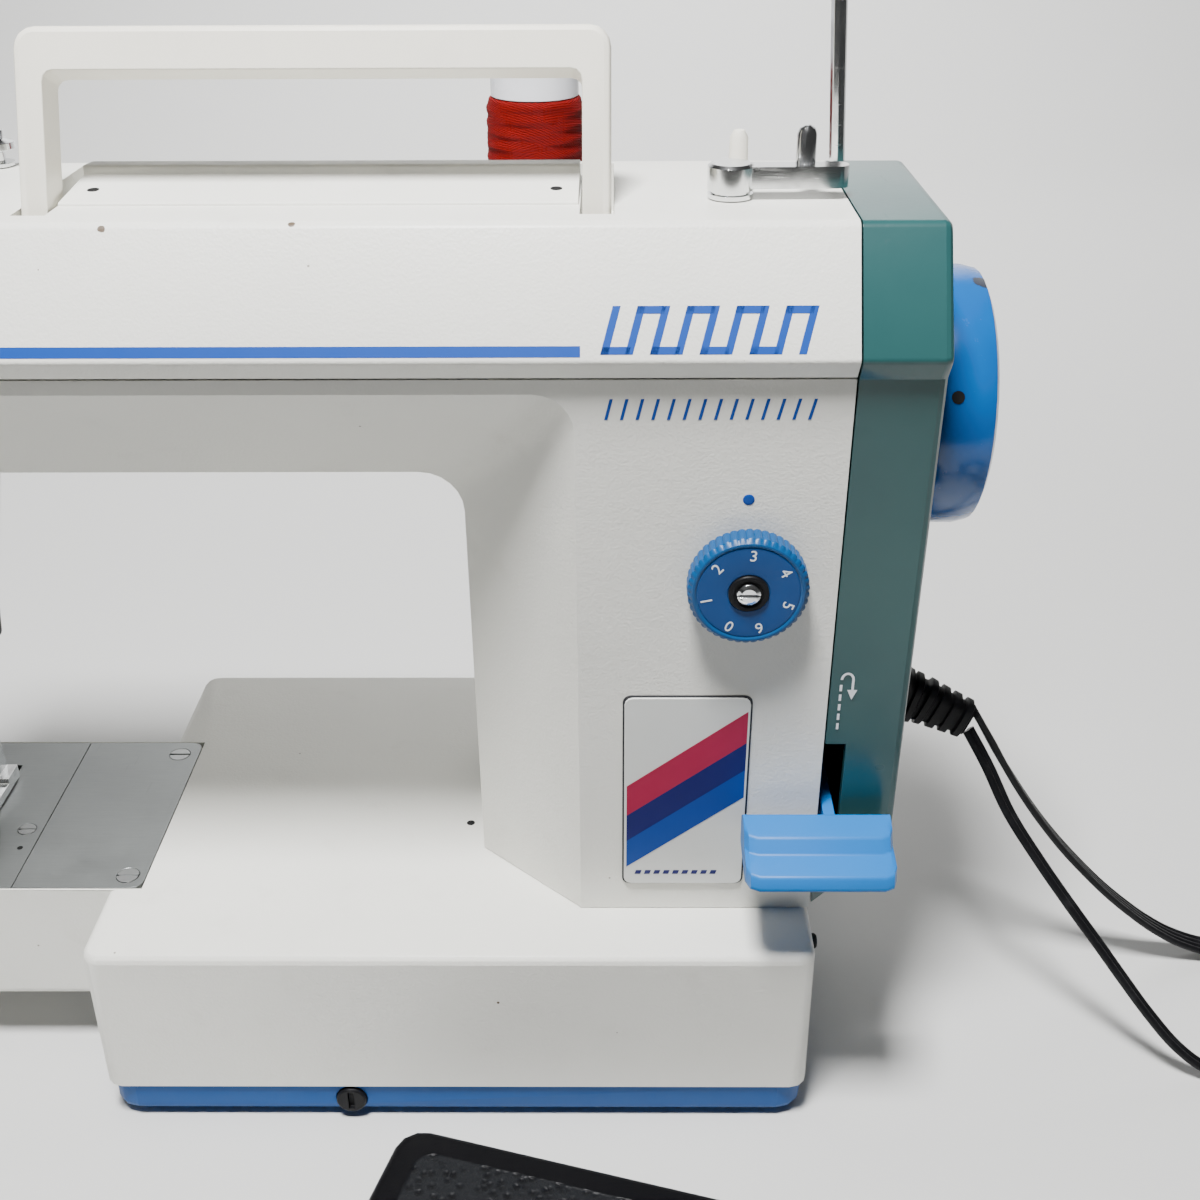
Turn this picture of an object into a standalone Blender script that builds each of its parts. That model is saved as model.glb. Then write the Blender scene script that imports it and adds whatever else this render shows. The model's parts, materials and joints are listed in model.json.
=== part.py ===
"""Free-arm sewing machine for leather, with its foot pedal and leads.

X runs along the arm, from the needle at -X to the hand wheel at +X. The front faces -Y, and +Z is up.
Sizes are in millimetres and are turned into metres as each mesh is made. The machine's own frame has X = 0
and Y = 0 near the middle of its base. MACHINE_FRAME moves it, so that the box round the machine and its
pedal is centred on the world origin and stands on Z = 0.
"""

import math

import bmesh
import bpy
from mathutils import Matrix, Vector

MM = 0.001
GAP = 0.3
MACHINE_FRAME = (74.41, 83.22, 0.0)

# Base and free arm
BED_LEFT, BED_RIGHT = -170.0, 70.0
BED_FRONT, BED_REAR = -89.0, 89.0
BED_TOP = 72.0
TRAY_BOTTOM, TRAY_TOP = 3.0, 14.7
BED_WALL = 4.0
FREE_ARM_LEFT = -275.0
FREE_ARM_FRONT, FREE_ARM_REAR = -54.4, 37.6
FREE_ARM_BOTTOM = 24.0
PLATE_LEFT, PLATE_SEAM, PLATE_RIGHT = -262.0, -204.0, -159.0
PLATE_FRONT, PLATE_REAR = -53.4, 36.6
PLATE_THICK = 2.5

# Upper casting: a pillar on the right, the arm over the bed and the head over the needle
ARM_LEFT = -268.0
HEAD_RIGHT_HIGH, HEAD_RIGHT_LOW = -208.5, -223.0
HEAD_BOTTOM, HEAD_REAR = 150.0, 30.0
PILLAR_BOTTOM, CASTING_TOP = BED_TOP + GAP, 263.6
CASTING_FRONT, CASTING_REAR = -63.9, 54.0
FACE_SLOPE = 0.0594
CHAMFER_DEPTH = 33.0
THROAT_RIGHT_FRONT, THROAT_RIGHT_BACK = -6.8, -42.0
THROAT_TOP_FRONT, THROAT_TOP_BACK = 259.3, 221.5
THROAT_RADIUS_FRONT, THROAT_RADIUS_BACK = 11.5, 13.5

# Top cover and the cover on the wheel end
COVER_BOTTOM, COVER_EDGE, COVER_TOP = CASTING_TOP + 0.6, 270.0, 303.0
COVER_LOWEST_FRONT, COVER_EDGE_FRONT, COVER_TOP_FRONT = -75.5, -80.0, -62.0
COVER_LOWEST_REAR, COVER_EDGE_REAR, COVER_TOP_REAR = 54.5, 58.0, 16.0
END_LEFT, END_RIGHT = 70.5, 95.0

# Carry handle
HANDLE_LEFT, HANDLE_RIGHT = -159.4, 3.6
HANDLE_MIDDLE = -78.0
HANDLE_LEG, HANDLE_DEEP = 8.0, 12.5
HANDLE_PIVOT = (-44.0, 296.5)
HANDLE_REACH = 54.0
HANDLE_LEAN = 21.0

# Shafts and needle
SHAFT_Y, SHAFT_Z = -12.0, 236.0
LOWER_SHAFT_Z = 42.0
NEEDLE_X = -232.0
PRESSER_Y = 8.0
MOTOR_Y, MOTOR_Z = 12.0, 120.0
WHEEL_RADIUS = 40.4

# Controls
DIAL_X, DIAL_Z = 43.0, 201.0
TENSION_X, TENSION_Z = -229.0, 172.0
REVERSE_PIVOT = (73.2, -25.0, 112.0)
WINDER_HUB = (37.0, -35.0)
SPINDLE = (41.0, -10.0)
ROD_FOOT, ROD_TOP = (73.3, 12.0, 303.4), (63.5, 12.0, 490.0)
SPOOL = (-23.0, 80.0)
SPOOL_FLOOR = 262.0

# Pedal: the middle of its footprint, and its turn about Z
PEDAL_X, PEDAL_Y = 8.6, -193.4
PEDAL_TURN = -15.8
PEDAL_LONG, PEDAL_DEEP = 180.0, 110.0
PEDAL_BASE_TOP, PEDAL_SKIRT, PEDAL_TOP = 11.0, 13.0, 27.0
PEDAL_GLAND_Z = 5.0

# Leads
MAINS_TUBE, PEDAL_TUBE = 2.0, 2.1
MAINS_COIL = (262.0, -111.5)
PEDAL_COIL = (240.0, -232.0)
MAINS_ROUTE = [
    (129.6, -15.2, 112.0),
    (136.5, -21.5, 100.5),
    (144.3, -29.0, 85.5),
    (155.0, -36.5, 70.4),
    (165.5, -43.6, 57.0),
    (176.0, -50.6, 44.2),
    (186.4, -57.3, 31.2),
    (194.0, -61.6, 22.0),
    (203.0, -66.3, 12.6),
    (213.0, -69.2, 5.6),
    (224.0, -70.2, 2.8),
    (238.0, -70.4, 2.3),
    (262.0, -70.6, 2.3),
]
PEDAL_ROUTE = [
    (131.4, -12.8, 118.6),
    (137.0, -12.3, 109.0),
    (145.9, -11.3, 93.5),
    (157.4, -10.5, 75.8),
    (168.9, -9.7, 60.3),
    (180.3, -9.0, 47.0),
    (191.8, -8.2, 34.8),
    (203.3, -7.4, 24.2),
    (213.0, -6.8, 16.4),
    (224.1, -6.2, 9.4),
    (238.0, -6.0, 4.2),
    (254.0, -7.0, 2.5),
    (274.0, -10.0, 2.4),
    (302.0, -27.0, 2.4),
    (321.0, -62.0, 2.4),
    (326.0, -105.0, 2.4),
    (321.0, -150.0, 2.4),
    (312.0, -196.0, 2.4),
    (309.0, -232.0, 2.4),
]
PEDAL_END_ROUTE = [
    (198.5, -236.0, 6.2),
    (197.5, -220.0, 6.2),
    (189.0, -205.0, 6.2),
    (172.0, -198.0, 6.0),
    (154.0, -203.0, 3.2),
    (137.0, -217.0, 2.6),
    (122.0, -225.2, 4.0),
    (111.1, -222.4, 5.0),
]

# Colours, as linear-light values
WHITE = (0.72, 0.71, 0.66)
IVORY = (0.76, 0.73, 0.64)
TEAL = (0.07, 0.19, 0.17)
BLUE = (0.02, 0.15, 0.42)
PALE_BLUE = (0.12, 0.36, 0.76)
GREY = (0.56, 0.56, 0.54)
BLACK = (0.012, 0.012, 0.012)
STEEL = (0.42, 0.44, 0.44)
CHROME = (0.62, 0.63, 0.64)
THREAD = (0.42, 0.008, 0.012)
BRONZE = (0.5, 0.35, 0.15)


# ---------------------------------------------------------------- shape tools


def front_y(z):
    """The leaning front face of the casting at the height z."""
    return CASTING_FRONT - (z - PILLAR_BOTTOM) * FACE_SLOPE


def made(name, bm, colour, rough=0.5, metal=0.0, origin=(0.0, 0.0, 0.0)):
    """An object of the mesh in bm, in millimetres, with its own material and origin."""
    bmesh.ops.recalc_face_normals(bm, faces=bm.faces)
    bmesh.ops.translate(bm, verts=bm.verts, vec=-Vector(origin))
    bmesh.ops.scale(bm, verts=bm.verts, vec=(MM, MM, MM))
    mesh = bpy.data.meshes.new(name)
    bm.to_mesh(mesh)
    bm.free()
    mesh.shade_smooth()
    mesh.set_sharp_from_angle(angle=math.radians(35))
    return placed(name, mesh, colour, rough, metal, origin)


def placed(name, data, colour, rough, metal, origin):
    obj = bpy.data.objects.new(name, data)
    bpy.context.scene.collection.objects.link(obj)
    obj.parent = machine
    obj.location = Vector(origin) * MM
    material = bpy.data.materials.new(name)
    material.use_nodes = True
    shader = material.node_tree.nodes["Principled BSDF"]
    shader.inputs["Base Color"].default_value = (*colour, 1.0)
    shader.inputs["Roughness"].default_value = rough
    shader.inputs["Metallic"].default_value = metal
    data.materials.append(material)
    return obj


def boolean(target, tool, operation):
    step = target.modifiers.new(tool.name, "BOOLEAN")
    step.operation = operation
    step.object = tool
    step.solver = "EXACT"
    tool.hide_render = True
    tool.display_type = "WIRE"


def cut(target, *tools):
    for tool in tools:
        boolean(target, tool, "DIFFERENCE")


def join(target, *tools):
    for tool in tools:
        boolean(target, tool, "UNION")


def filleted(corners, steps=3):
    """A closed outline whose corners (a, b, radius) are rounded with short arcs."""
    points = []
    for index, (a, b, radius) in enumerate(corners):
        here = Vector((a, b))
        if radius == 0:
            points.append(here)
            continue
        before = (Vector(corners[index - 1][:2]) - here).normalized()
        after = (Vector(corners[(index + 1) % len(corners)][:2]) - here).normalized()
        half = before.angle(after) / 2
        reach = radius / math.tan(half)
        centre = here + (before + after).normalized() * radius / math.sin(half)
        start = here + before * reach - centre
        end = here + after * reach - centre
        sweep = start.angle_signed(end)
        for step in range(steps + 1):
            turn = -sweep * step / steps
            points.append(centre + Matrix.Rotation(turn, 2) @ start)
    return points


def lofted(bm, rings):
    """Joins rings of the same number of points, and closes both ends."""
    rows = [[bm.verts.new(point) for point in ring] for ring in rings]
    count = len(rows[0])
    for low, high in zip(rows, rows[1:]):
        for i in range(count):
            j = (i + 1) % count
            bm.faces.new((low[i], low[j], high[j], high[i]))
    bm.faces.new(rows[0])
    bm.faces.new(rows[-1])


def along(axis, a, b, c):
    """A point from its two coordinates across an axis and its place c along it."""
    return {"X": (c, a, b), "Y": (a, c, b), "Z": (a, b, c)}[axis]


def extruded(name, outline, axis, low, high, colour=WHITE, **finish):
    bm = bmesh.new()
    rings = [[along(axis, p[0], p[1], place) for p in outline] for place in (low, high)]
    lofted(bm, rings)
    return made(name, bm, colour, **finish)


def block(name, low, high, colour=WHITE, **finish):
    outline = [(low[0], low[1]), (high[0], low[1]), (high[0], high[1]), (low[0], high[1])]
    return extruded(name, outline, "Z", low[2], high[2], colour, **finish)


def soft_rings(low, high, corner, edge_low, edge_high):
    """Rings of a block with round upright corners, and round edges at its bottom and top."""
    levels = []
    for edge, foot, sign in ((edge_low, low[2], 1), (edge_high, high[2], -1)):
        part = []
        for step in range(4 if edge else 1):
            turn = math.radians(30 * step)
            part.append((edge * (1 - math.sin(turn)), foot + sign * edge * (1 - math.cos(turn))))
        levels += part if sign > 0 else part[::-1]
    rings = []
    for inset, z in levels:
        x0, y0 = low[0] + inset, low[1] + inset
        x1, y1 = high[0] - inset, high[1] - inset
        radius = max(corner - inset, 0.4)
        outline = filleted([(x0, y0, radius), (x1, y0, radius), (x1, y1, radius), (x0, y1, radius)])
        rings.append([(p[0], p[1], z) for p in outline])
    return rings


def soft_block(name, low, high, corner, edge_low=0.0, edge_high=0.0, colour=WHITE, **finish):
    bm = bmesh.new()
    lofted(bm, soft_rings(low, high, corner, edge_low, edge_high))
    return made(name, bm, colour, **finish)


def turned(name, profile, axis, centre, colour=STEEL, steps=32, closed=False, **finish):
    """Spins a profile of (place along the axis, radius) round the axis through centre."""
    bm = bmesh.new()
    verts = [bm.verts.new(along(axis, radius, 0.0, place)) for place, radius in profile]
    pairs = list(zip(verts, verts[1:]))
    if closed:
        pairs.append((verts[-1], verts[0]))
    edges = [bm.edges.new(pair) for pair in pairs]
    bmesh.ops.spin(
        bm,
        geom=verts + edges,
        cent=(0, 0, 0),
        axis=along(axis, 0.0, 0.0, 1.0),
        angle=math.tau,
        steps=steps,
        use_merge=True,
    )
    bmesh.ops.remove_doubles(bm, verts=bm.verts, dist=0.001)
    bmesh.ops.translate(bm, verts=bm.verts, vec=centre)
    return made(name, bm, colour, origin=centre, **finish)


def rod(name, radius, axis, centre, low, high, colour=STEEL, steps=16, **finish):
    """A plain round bar between two places on an axis through centre."""
    profile = [(low, 0.0), (low, radius), (high, radius), (high, 0.0)]
    return turned(name, profile, axis, centre, colour, steps, **finish)


def bush(name, inner, outer, axis, centre, low, high, colour=STEEL, steps=24, **finish):
    profile = [(low, inner), (low, outer), (high, outer), (high, inner)]
    return turned(name, profile, axis, centre, colour, steps, closed=True, **finish)


def smooth_route(points, spacing):
    """Points at an even spacing on a Catmull-Rom curve through the given ones."""
    points = [Vector(p) for p in points]
    ends = [2 * points[0] - points[1]] + points + [2 * points[-1] - points[-2]]
    fine = []
    for a, b, c, d in zip(ends, ends[1:], ends[2:], ends[3:]):
        for step in range(24):
            t = step / 24
            fine.append(
                0.5
                * (
                    2 * b
                    + (c - a) * t
                    + (2 * a - 5 * b + 4 * c - d) * t**2
                    + (3 * b - a - 3 * c + d) * t**3
                )
            )
    fine.append(points[-1])
    length = sum((q - p).length for p, q in zip(fine, fine[1:]))
    pieces = max(2, round(length / spacing))
    route, walked, wanted = [fine[0]], 0.0, length / pieces
    for p, q in zip(fine, fine[1:]):
        step = (q - p).length
        while walked + step >= wanted - 1e-6 and len(route) < pieces:
            route.append(p.lerp(q, (wanted - walked) / step))
            wanted += length / pieces
        walked += step
    route.append(fine[-1])
    return route


def tube(name, points, radius, spacing, colour=BLACK, rough=0.5, metal=0.0):
    """A round tube along a smooth curve through the points."""
    curve = bpy.data.curves.new(name, "CURVE")
    curve.dimensions = "3D"
    curve.bevel_depth = radius * MM
    curve.bevel_resolution = 2
    curve.use_fill_caps = True
    route = smooth_route(points, spacing)
    spline = curve.splines.new("POLY")
    spline.points.add(len(route) - 1)
    for point, place in zip(spline.points, route):
        point.co = (*(place * MM), 1.0)
    return placed(name, curve, colour, rough, metal, (0.0, 0.0, 0.0))


def slotted(name, centre, radius, height, colour=STEEL, **finish):
    """A countersunk screw head, upright, with its slot."""
    profile = [(-height, 0.0), (-height, radius * 0.55), (0.0, radius), (0.0, 0.0)]
    head = turned(name, profile, "Z", centre, colour, 20, **finish)
    x, y, z = centre
    slot = block(name + "_slot", (x - radius - 1, y - 0.5, z - 0.7), (x + radius + 1, y + 0.5, z + 1))
    cut(head, slot)
    return head


# ---------------------------------------------------------------- base and free arm


def base():
    bed = soft_block(
        "bed_casting",
        (BED_LEFT, BED_FRONT, TRAY_TOP + GAP),
        (BED_RIGHT, BED_REAR, BED_TOP),
        corner=6.0,
        edge_high=3.0,
        rough=0.42,
    )
    arm = soft_block(
        "free_arm_body",
        (FREE_ARM_LEFT, FREE_ARM_FRONT, FREE_ARM_BOTTOM),
        (BED_LEFT + 15, FREE_ARM_REAR, BED_TOP),
        corner=5.0,
        edge_low=3.0,
        edge_high=0.0,
    )
    hollow = block(
        "bed_hollow",
        (BED_LEFT + BED_WALL, BED_FRONT + BED_WALL, 0.0),
        (BED_RIGHT - BED_WALL, BED_REAR - BED_WALL, BED_TOP - BED_WALL),
    )
    tunnel = block(
        "free_arm_hollow",
        (FREE_ARM_LEFT - 10, FREE_ARM_FRONT + 3.4, FREE_ARM_BOTTOM + 3.5),
        (BED_LEFT + 10, FREE_ARM_REAR - 3.2, BED_TOP - 6.5),
    )
    mouth = block("plate_mouth", (-257.0, -48.0, 50.0), (-164.0, 31.5, BED_TOP + 5))
    ledge = block(
        "plate_ledge",
        (PLATE_LEFT - GAP, PLATE_FRONT - GAP, BED_TOP - PLATE_THICK - GAP),
        (PLATE_RIGHT + GAP, PLATE_REAR + GAP, BED_TOP + 5),
    )
    belt_hole = block("belt_hole", (-33.0, -34.0, BED_TOP - 10), (-10.0, 10.0, BED_TOP + 5))
    join(bed, arm)
    cut(bed, hollow, tunnel, mouth, ledge, belt_hole)


def tray_and_feet():
    tray = soft_block(
        "base_tray",
        (BED_LEFT + 1, BED_FRONT + 1, TRAY_BOTTOM),
        (BED_RIGHT - 1, BED_REAR - 1, TRAY_TOP),
        corner=9.0,
        edge_low=2.5,
        colour=BLUE,
        rough=0.35,
    )
    hollow = block(
        "tray_hollow",
        (BED_LEFT + 4.5, BED_FRONT + 4.5, TRAY_BOTTOM + 3),
        (BED_RIGHT - 4.5, BED_REAR - 4.5, TRAY_TOP + 5),
    )
    plug_hole = rod("tray_plug_hole", 5.5, "Y", (-86.0, BED_FRONT, 8.6), -5.0, 8.0)
    cut(tray, hollow, plug_hole)
    profile = [(-0.5, 0.0), (-0.5, 4.7), (0.0, 5.2), (6.5, 5.2), (6.5, 0.0)]
    plug = turned("tray_plug", profile, "Y", (-86.0, BED_FRONT, 8.6), BLACK, 24, rough=0.4)
    slot = block("tray_plug_slot", (-87.0, BED_FRONT - 3, 4.9), (-85.0, BED_FRONT + 1.2, 12.3))
    cut(plug, slot)
    corners = [(BED_LEFT + 20, BED_FRONT + 20), (BED_RIGHT - 20, BED_FRONT + 20)]
    corners += [(x, -y) for x, y in corners]
    for number, (x, y) in enumerate(corners, 1):
        profile = [(0.0, 0.0), (0.0, 7.0), (2.7, 8.5), (2.7, 0.0)]
        turned(f"foot_{number}", profile, "Z", (x, y, 0.0), BLACK, 20, rough=0.8)


def plates():
    corners = [
        (PLATE_SEAM + 0.15, PLATE_FRONT, 0.0),
        (PLATE_RIGHT, PLATE_FRONT, 4.0),
        (PLATE_RIGHT, PLATE_REAR, 4.0),
        (PLATE_SEAM + 0.15, PLATE_REAR, 0.0),
    ]
    low, high = BED_TOP - PLATE_THICK, BED_TOP
    slide = extruded("slide_plate", filleted(corners), "Z", low, high, STEEL, rough=0.32, metal=1.0)
    needle = block(
        "needle_plate",
        (PLATE_LEFT, PLATE_FRONT, low),
        (PLATE_SEAM - 0.15, PLATE_REAR, high),
        STEEL,
        rough=0.32,
        metal=1.0,
    )
    feed_slot = block("feed_slot", (NEEDLE_X - 6, -5.0, 60.0), (NEEDLE_X + 6, 21.0, 80.0))
    needle_hole = rod("needle_hole", 1.8, "Z", (NEEDLE_X, SHAFT_Y, high), -8.0, 8.0)
    seats = []
    screws = [
        ("plate_screw_rear", (-166.5, 28.5, high), 3.9),
        ("plate_screw_front", (-165.5, -46.5, high), 3.9),
        ("needle_plate_screw", (-210.0, -20.0, high), 3.2),
    ]
    for name, centre, radius in screws:
        slotted(name, centre, radius, 2.0, rough=0.3, metal=1.0)
        wide = radius + GAP
        hole = wide * 0.55
        profile = [(-4.0, 0.0), (-4.0, hole), (-2.3, hole), (0.0, wide), (2.0, wide), (2.0, 0.0)]
        seats.append(turned(name + "_seat", profile, "Z", centre, steps=20))
    cut(slide, seats[0], seats[1])
    cut(needle, feed_slot, needle_hole, seats[2])


def hook_door():
    """The door on the free arm's end, over the hook. It turns down on its lower edge."""
    pivot = (-278.0, 0.0, 28.0)
    low = (-278.6, FREE_ARM_FRONT + 1.5, 26.5)
    high = (FREE_ARM_LEFT - 0.4, FREE_ARM_REAR - 1.5, 71.0)
    bm = bmesh.new()
    lofted(bm, soft_rings(low, high, 1.2, 1.0, 1.0))
    made("hook_door", bm, WHITE, rough=0.42, origin=pivot)


# ---------------------------------------------------------------- upper casting


def throat_ring(share, depth):
    """The throat's outline at a share of the chamfer, from front 0 to back 1."""
    right = THROAT_RIGHT_FRONT + share * (THROAT_RIGHT_BACK - THROAT_RIGHT_FRONT)
    top = THROAT_TOP_FRONT + share * (THROAT_TOP_BACK - THROAT_TOP_FRONT)
    radius = THROAT_RADIUS_FRONT + share * (THROAT_RADIUS_BACK - THROAT_RADIUS_FRONT)
    corners = [
        (ARM_LEFT - 30, PILLAR_BOTTOM - 15, 0.0),
        (right, PILLAR_BOTTOM - 15, 0.0),
        (right, top, radius),
        (HEAD_RIGHT_HIGH, top, 8.0),
        (HEAD_RIGHT_LOW, HEAD_BOTTOM, 3.0),
        (ARM_LEFT - 30, HEAD_BOTTOM, 0.0),
    ]
    outline = filleted(corners, steps=6)
    return [(p[0], front_y(p[1]) + depth, p[1]) for p in outline]


def upper_casting():
    section = [
        (front_y(PILLAR_BOTTOM), PILLAR_BOTTOM, 0.0),
        (CASTING_REAR, PILLAR_BOTTOM, 0.0),
        (CASTING_REAR, CASTING_TOP, 0.0),
        (front_y(CASTING_TOP), CASTING_TOP, 0.0),
    ]
    casting = extruded("arm_casting", filleted(section), "X", ARM_LEFT, BED_RIGHT, rough=0.45)
    slope = 10 / CHAMFER_DEPTH
    bm = bmesh.new()
    lofted(bm, [throat_ring(-slope, -10.0), throat_ring(1.0, CHAMFER_DEPTH), throat_ring(1.0, 150.0)])
    throat = made("throat", bm, WHITE)
    arm_inside = [(-69.0, 275.0), (-69.0, 258.0), (-38.5, 227.0), (49.0, 227.0), (49.0, 275.0)]
    arm_hollow = extruded("arm_hollow", arm_inside, "X", -202.0, 66.0)
    pillar_inside = [(-36.5, 49.0), (-36.5, -27.0), (-5.0, -56.5), (66.0, -56.5), (66.0, 49.0)]
    pillar_hollow = extruded("pillar_hollow", pillar_inside, "Z", 60.0, 275.0)
    head_inside = [(ARM_LEFT - 10, 156.0), (-226.0, 156.0), (-213.2, 217.0), (-211.0, 224.0)]
    head_inside += [(-208.0, 228.0), (-208.0, 275.0), (ARM_LEFT - 10, 275.0)]
    head_hollow = extruded("head_hollow", head_inside, "Y", -62.0, HEAD_REAR - 5)
    upper_hollow = block("upper_hollow", (ARM_LEFT - 10, 20.0, 227.0), (-208.0, 49.0, 275.0))
    head_back = block("head_back", (ARM_LEFT - 30, HEAD_REAR, 60.0), (-200.0, 60.0, THROAT_TOP_BACK))
    shaft_hole = rod("shaft_hole", 9.0, "X", (0.0, SHAFT_Y, SHAFT_Z), -215.0, 80.0, steps=24)
    motor_hole = rod("motor_hole", 6.0, "X", (0.0, MOTOR_Y, MOTOR_Z), 60.0, 80.0)
    bar_hole = rod("bar_hole", 3.4, "Z", (NEEDLE_X, SHAFT_Y, 0.0), 140.0, 165.0)
    presser_hole = rod("presser_hole", 3.9, "Z", (NEEDLE_X, PRESSER_Y, 0.0), 140.0, 165.0)
    take_up_slot = block("take_up_slot", (NEEDLE_X - 3.6, -95.0, 184.0), (NEEDLE_X + 3.6, -55.0, 257.0))
    cut(casting, throat, head_back, arm_hollow, pillar_hollow, head_hollow, upper_hollow)
    cut(casting, shaft_hole, motor_hole)
    cut(casting, bar_hole, presser_hole, take_up_slot)
    bush("main_bush_right", 5.25, 8.7, "X", (0.0, SHAFT_Y, SHAFT_Z), 60.0, 70.2, BRONZE, metal=1.0)
    bush("main_bush_left", 5.25, 8.7, "X", (0.0, SHAFT_Y, SHAFT_Z), -210.0, -200.0, BRONZE, metal=1.0)


def face_cover():
    """The plate that closes the head on its left end."""
    low = (ARM_LEFT - 4.3, -70.0, HEAD_BOTTOM + 1)
    high = (ARM_LEFT - 0.3, 52.0, CASTING_TOP - 0.5)
    step = THROAT_TOP_BACK + 1
    outline = [(low[1], low[2], 6), (HEAD_REAR - 2, low[2], 6), (HEAD_REAR - 2, step, 3)]
    outline += [(high[1], step, 3), (high[1], high[2], 3), (low[1], high[2], 3)]
    extruded("face_cover", filleted(outline), "X", low[0], high[0], rough=0.42)


def badge():
    """The inlaid plate low on the pillar's front, with round corners, flat against the leaning face."""
    outline = filleted([(7.5, 84.0, 2.5), (46.4, 84.0, 2.5), (46.4, 159.0, 2.5), (7.5, 159.0, 2.5)])
    bm = bmesh.new()
    lofted(bm, [[(x, front_y(z) - out, z) for x, z in outline] for out in (1.1, 0.3)])
    made("badge_plate", bm, GREY, rough=0.3)


# ---------------------------------------------------------------- covers


def cover_section(inset=0.0, bottom=COVER_BOTTOM):
    """The cover's section across the arm, drawn in by a wall's thickness."""
    return filleted(
        [
            (COVER_LOWEST_FRONT + inset, bottom, 0.0),
            (COVER_EDGE_FRONT + inset * 1.15, COVER_EDGE, 1.5),
            (COVER_TOP_FRONT + inset * 0.6, COVER_TOP - inset, 3.0),
            (COVER_TOP_REAR - inset * 0.4, COVER_TOP - inset, 5.0),
            (COVER_EDGE_REAR - inset * 1.2, COVER_EDGE - 2, 3.0),
            (COVER_LOWEST_REAR - inset, bottom, 0.0),
        ]
    )


def top_cover():
    cover = extruded("top_cover", cover_section(), "X", ARM_LEFT, BED_RIGHT, rough=0.42)
    inside = extruded("cover_hollow", cover_section(2.8, COVER_BOTTOM - 5), "X", ARM_LEFT + 3, BED_RIGHT - 3)
    legs = [HANDLE_LEFT, HANDLE_RIGHT - HANDLE_LEG]
    trough = block("handle_trough", (legs[0] - 5, -59.0, 284.5), (HANDLE_RIGHT + 5, 15.0, COVER_TOP - 1.5))
    ledge = [(-43.5, 301.0, 0), (-43.2, 304.0, 0.6), (-18.5, 306.5, 0.4), (-18.2, 309.0, 1.2)]
    ledge += [(-8.0, 308.4, 2.5), (-5.0, 301.0, 0)]
    x0, x1 = legs[0] + HANDLE_LEG + 1.2, legs[1] - 1.2
    raised = extruded("raised_middle", filleted(ledge), "X", x0, x1)
    cut(cover, inside)
    join(cover, trough, raised)
    for number, x in enumerate(legs):
        far = x + HANDLE_LEG + 0.7
        channel = block(f"leg_channel_{number}", (x - 0.7, -53.0, 288.0), (far, 12.5, 320.0))
        pin = rod(f"pin_hole_{number}", 2.3, "X", (x + 4.0, *HANDLE_PIVOT), -8.5, 8.5)
        cut(cover, channel, pin)
    rest = block("bar_channel", (legs[0] - 0.7, -4.6, 288.0), (HANDLE_RIGHT + 0.7, 12.5, 320.0))
    cut(cover, rest)


def end_cover():
    """The cover on the wheel end: a shell open towards the pillar, cut off at a slant below."""
    front_low = front_y(PILLAR_BOTTOM)
    section = filleted(
        [
            (front_low, PILLAR_BOTTOM + 1, 2.0),
            (COVER_LOWEST_FRONT, CASTING_TOP, 0.0),
            (COVER_EDGE_FRONT, COVER_EDGE, 2.0),
            (COVER_TOP_FRONT, COVER_TOP, 3.0),
            (COVER_TOP_REAR, COVER_TOP, 5.0),
            (COVER_EDGE_REAR, COVER_EDGE - 2, 3.0),
            (CASTING_REAR, CASTING_TOP, 0.0),
            (CASTING_REAR, PILLAR_BOTTOM + 1, 3.0),
        ]
    )
    middle = Vector((-9.0, 200.0))
    bm = bmesh.new()
    levels = [(END_LEFT, 0.0)]
    for step in range(4):
        turn = math.radians(30 * step)
        levels.append((END_RIGHT - 2.5 * (1 - math.sin(turn)), 2.5 * (1 - math.cos(turn))))
    rings = []
    for x, inset in levels:
        ring = []
        for point in section:
            inward = middle - point
            ring.append((x, point[0] + inset * (inward[0] > 0) - inset * (inward[0] < 0), point[1]))
        rings.append([(p[0], p[1], p[2] - inset if p[2] > 290 else p[2]) for p in ring])
    lofted(bm, rings)
    cover = made("end_cover", bm, TEAL, rough=0.25)
    inner = [
        (front_low + 3.5, PILLAR_BOTTOM - 10),
        (front_y(CASTING_TOP) + 3.2, CASTING_TOP),
        (COVER_EDGE_FRONT + 3.6, COVER_EDGE),
        (COVER_TOP_FRONT + 2.0, COVER_TOP - 3),
        (COVER_TOP_REAR - 1.0, COVER_TOP - 3),
        (COVER_EDGE_REAR - 3.6, COVER_EDGE - 2),
        (CASTING_REAR - 3.2, CASTING_TOP),
        (CASTING_REAR - 3.2, PILLAR_BOTTOM - 10),
    ]
    slant = [(END_LEFT - 1, 40.0), (END_RIGHT + 6, 40.0), (END_RIGHT + 6, 106.5), (END_LEFT - 1, 73.5)]
    inner_slant = [(END_LEFT - 6, 40.0), (END_RIGHT, 40.0), (END_RIGHT, 109.0), (END_LEFT - 6, 77.5)]
    hollow = extruded("end_hollow", inner, "X", END_LEFT - 5, END_RIGHT - 3)
    keep = extruded("slant_wall", inner_slant, "Y", -120.0, 100.0)
    cut(hollow, keep)
    corner = extruded("slant_corner", slant, "Y", -120.0, 100.0)
    slot = block("lever_slot", (END_LEFT - 2, -90.0, 86.0), (77.0, -50.0, 141.0))
    shaft_hole = rod("wheel_hole", 8.0, "X", (0.0, SHAFT_Y, SHAFT_Z), 85.0, 100.0, steps=24)
    cut(cover, hollow, corner, slot, shaft_hole)


# ---------------------------------------------------------------- drive


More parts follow.
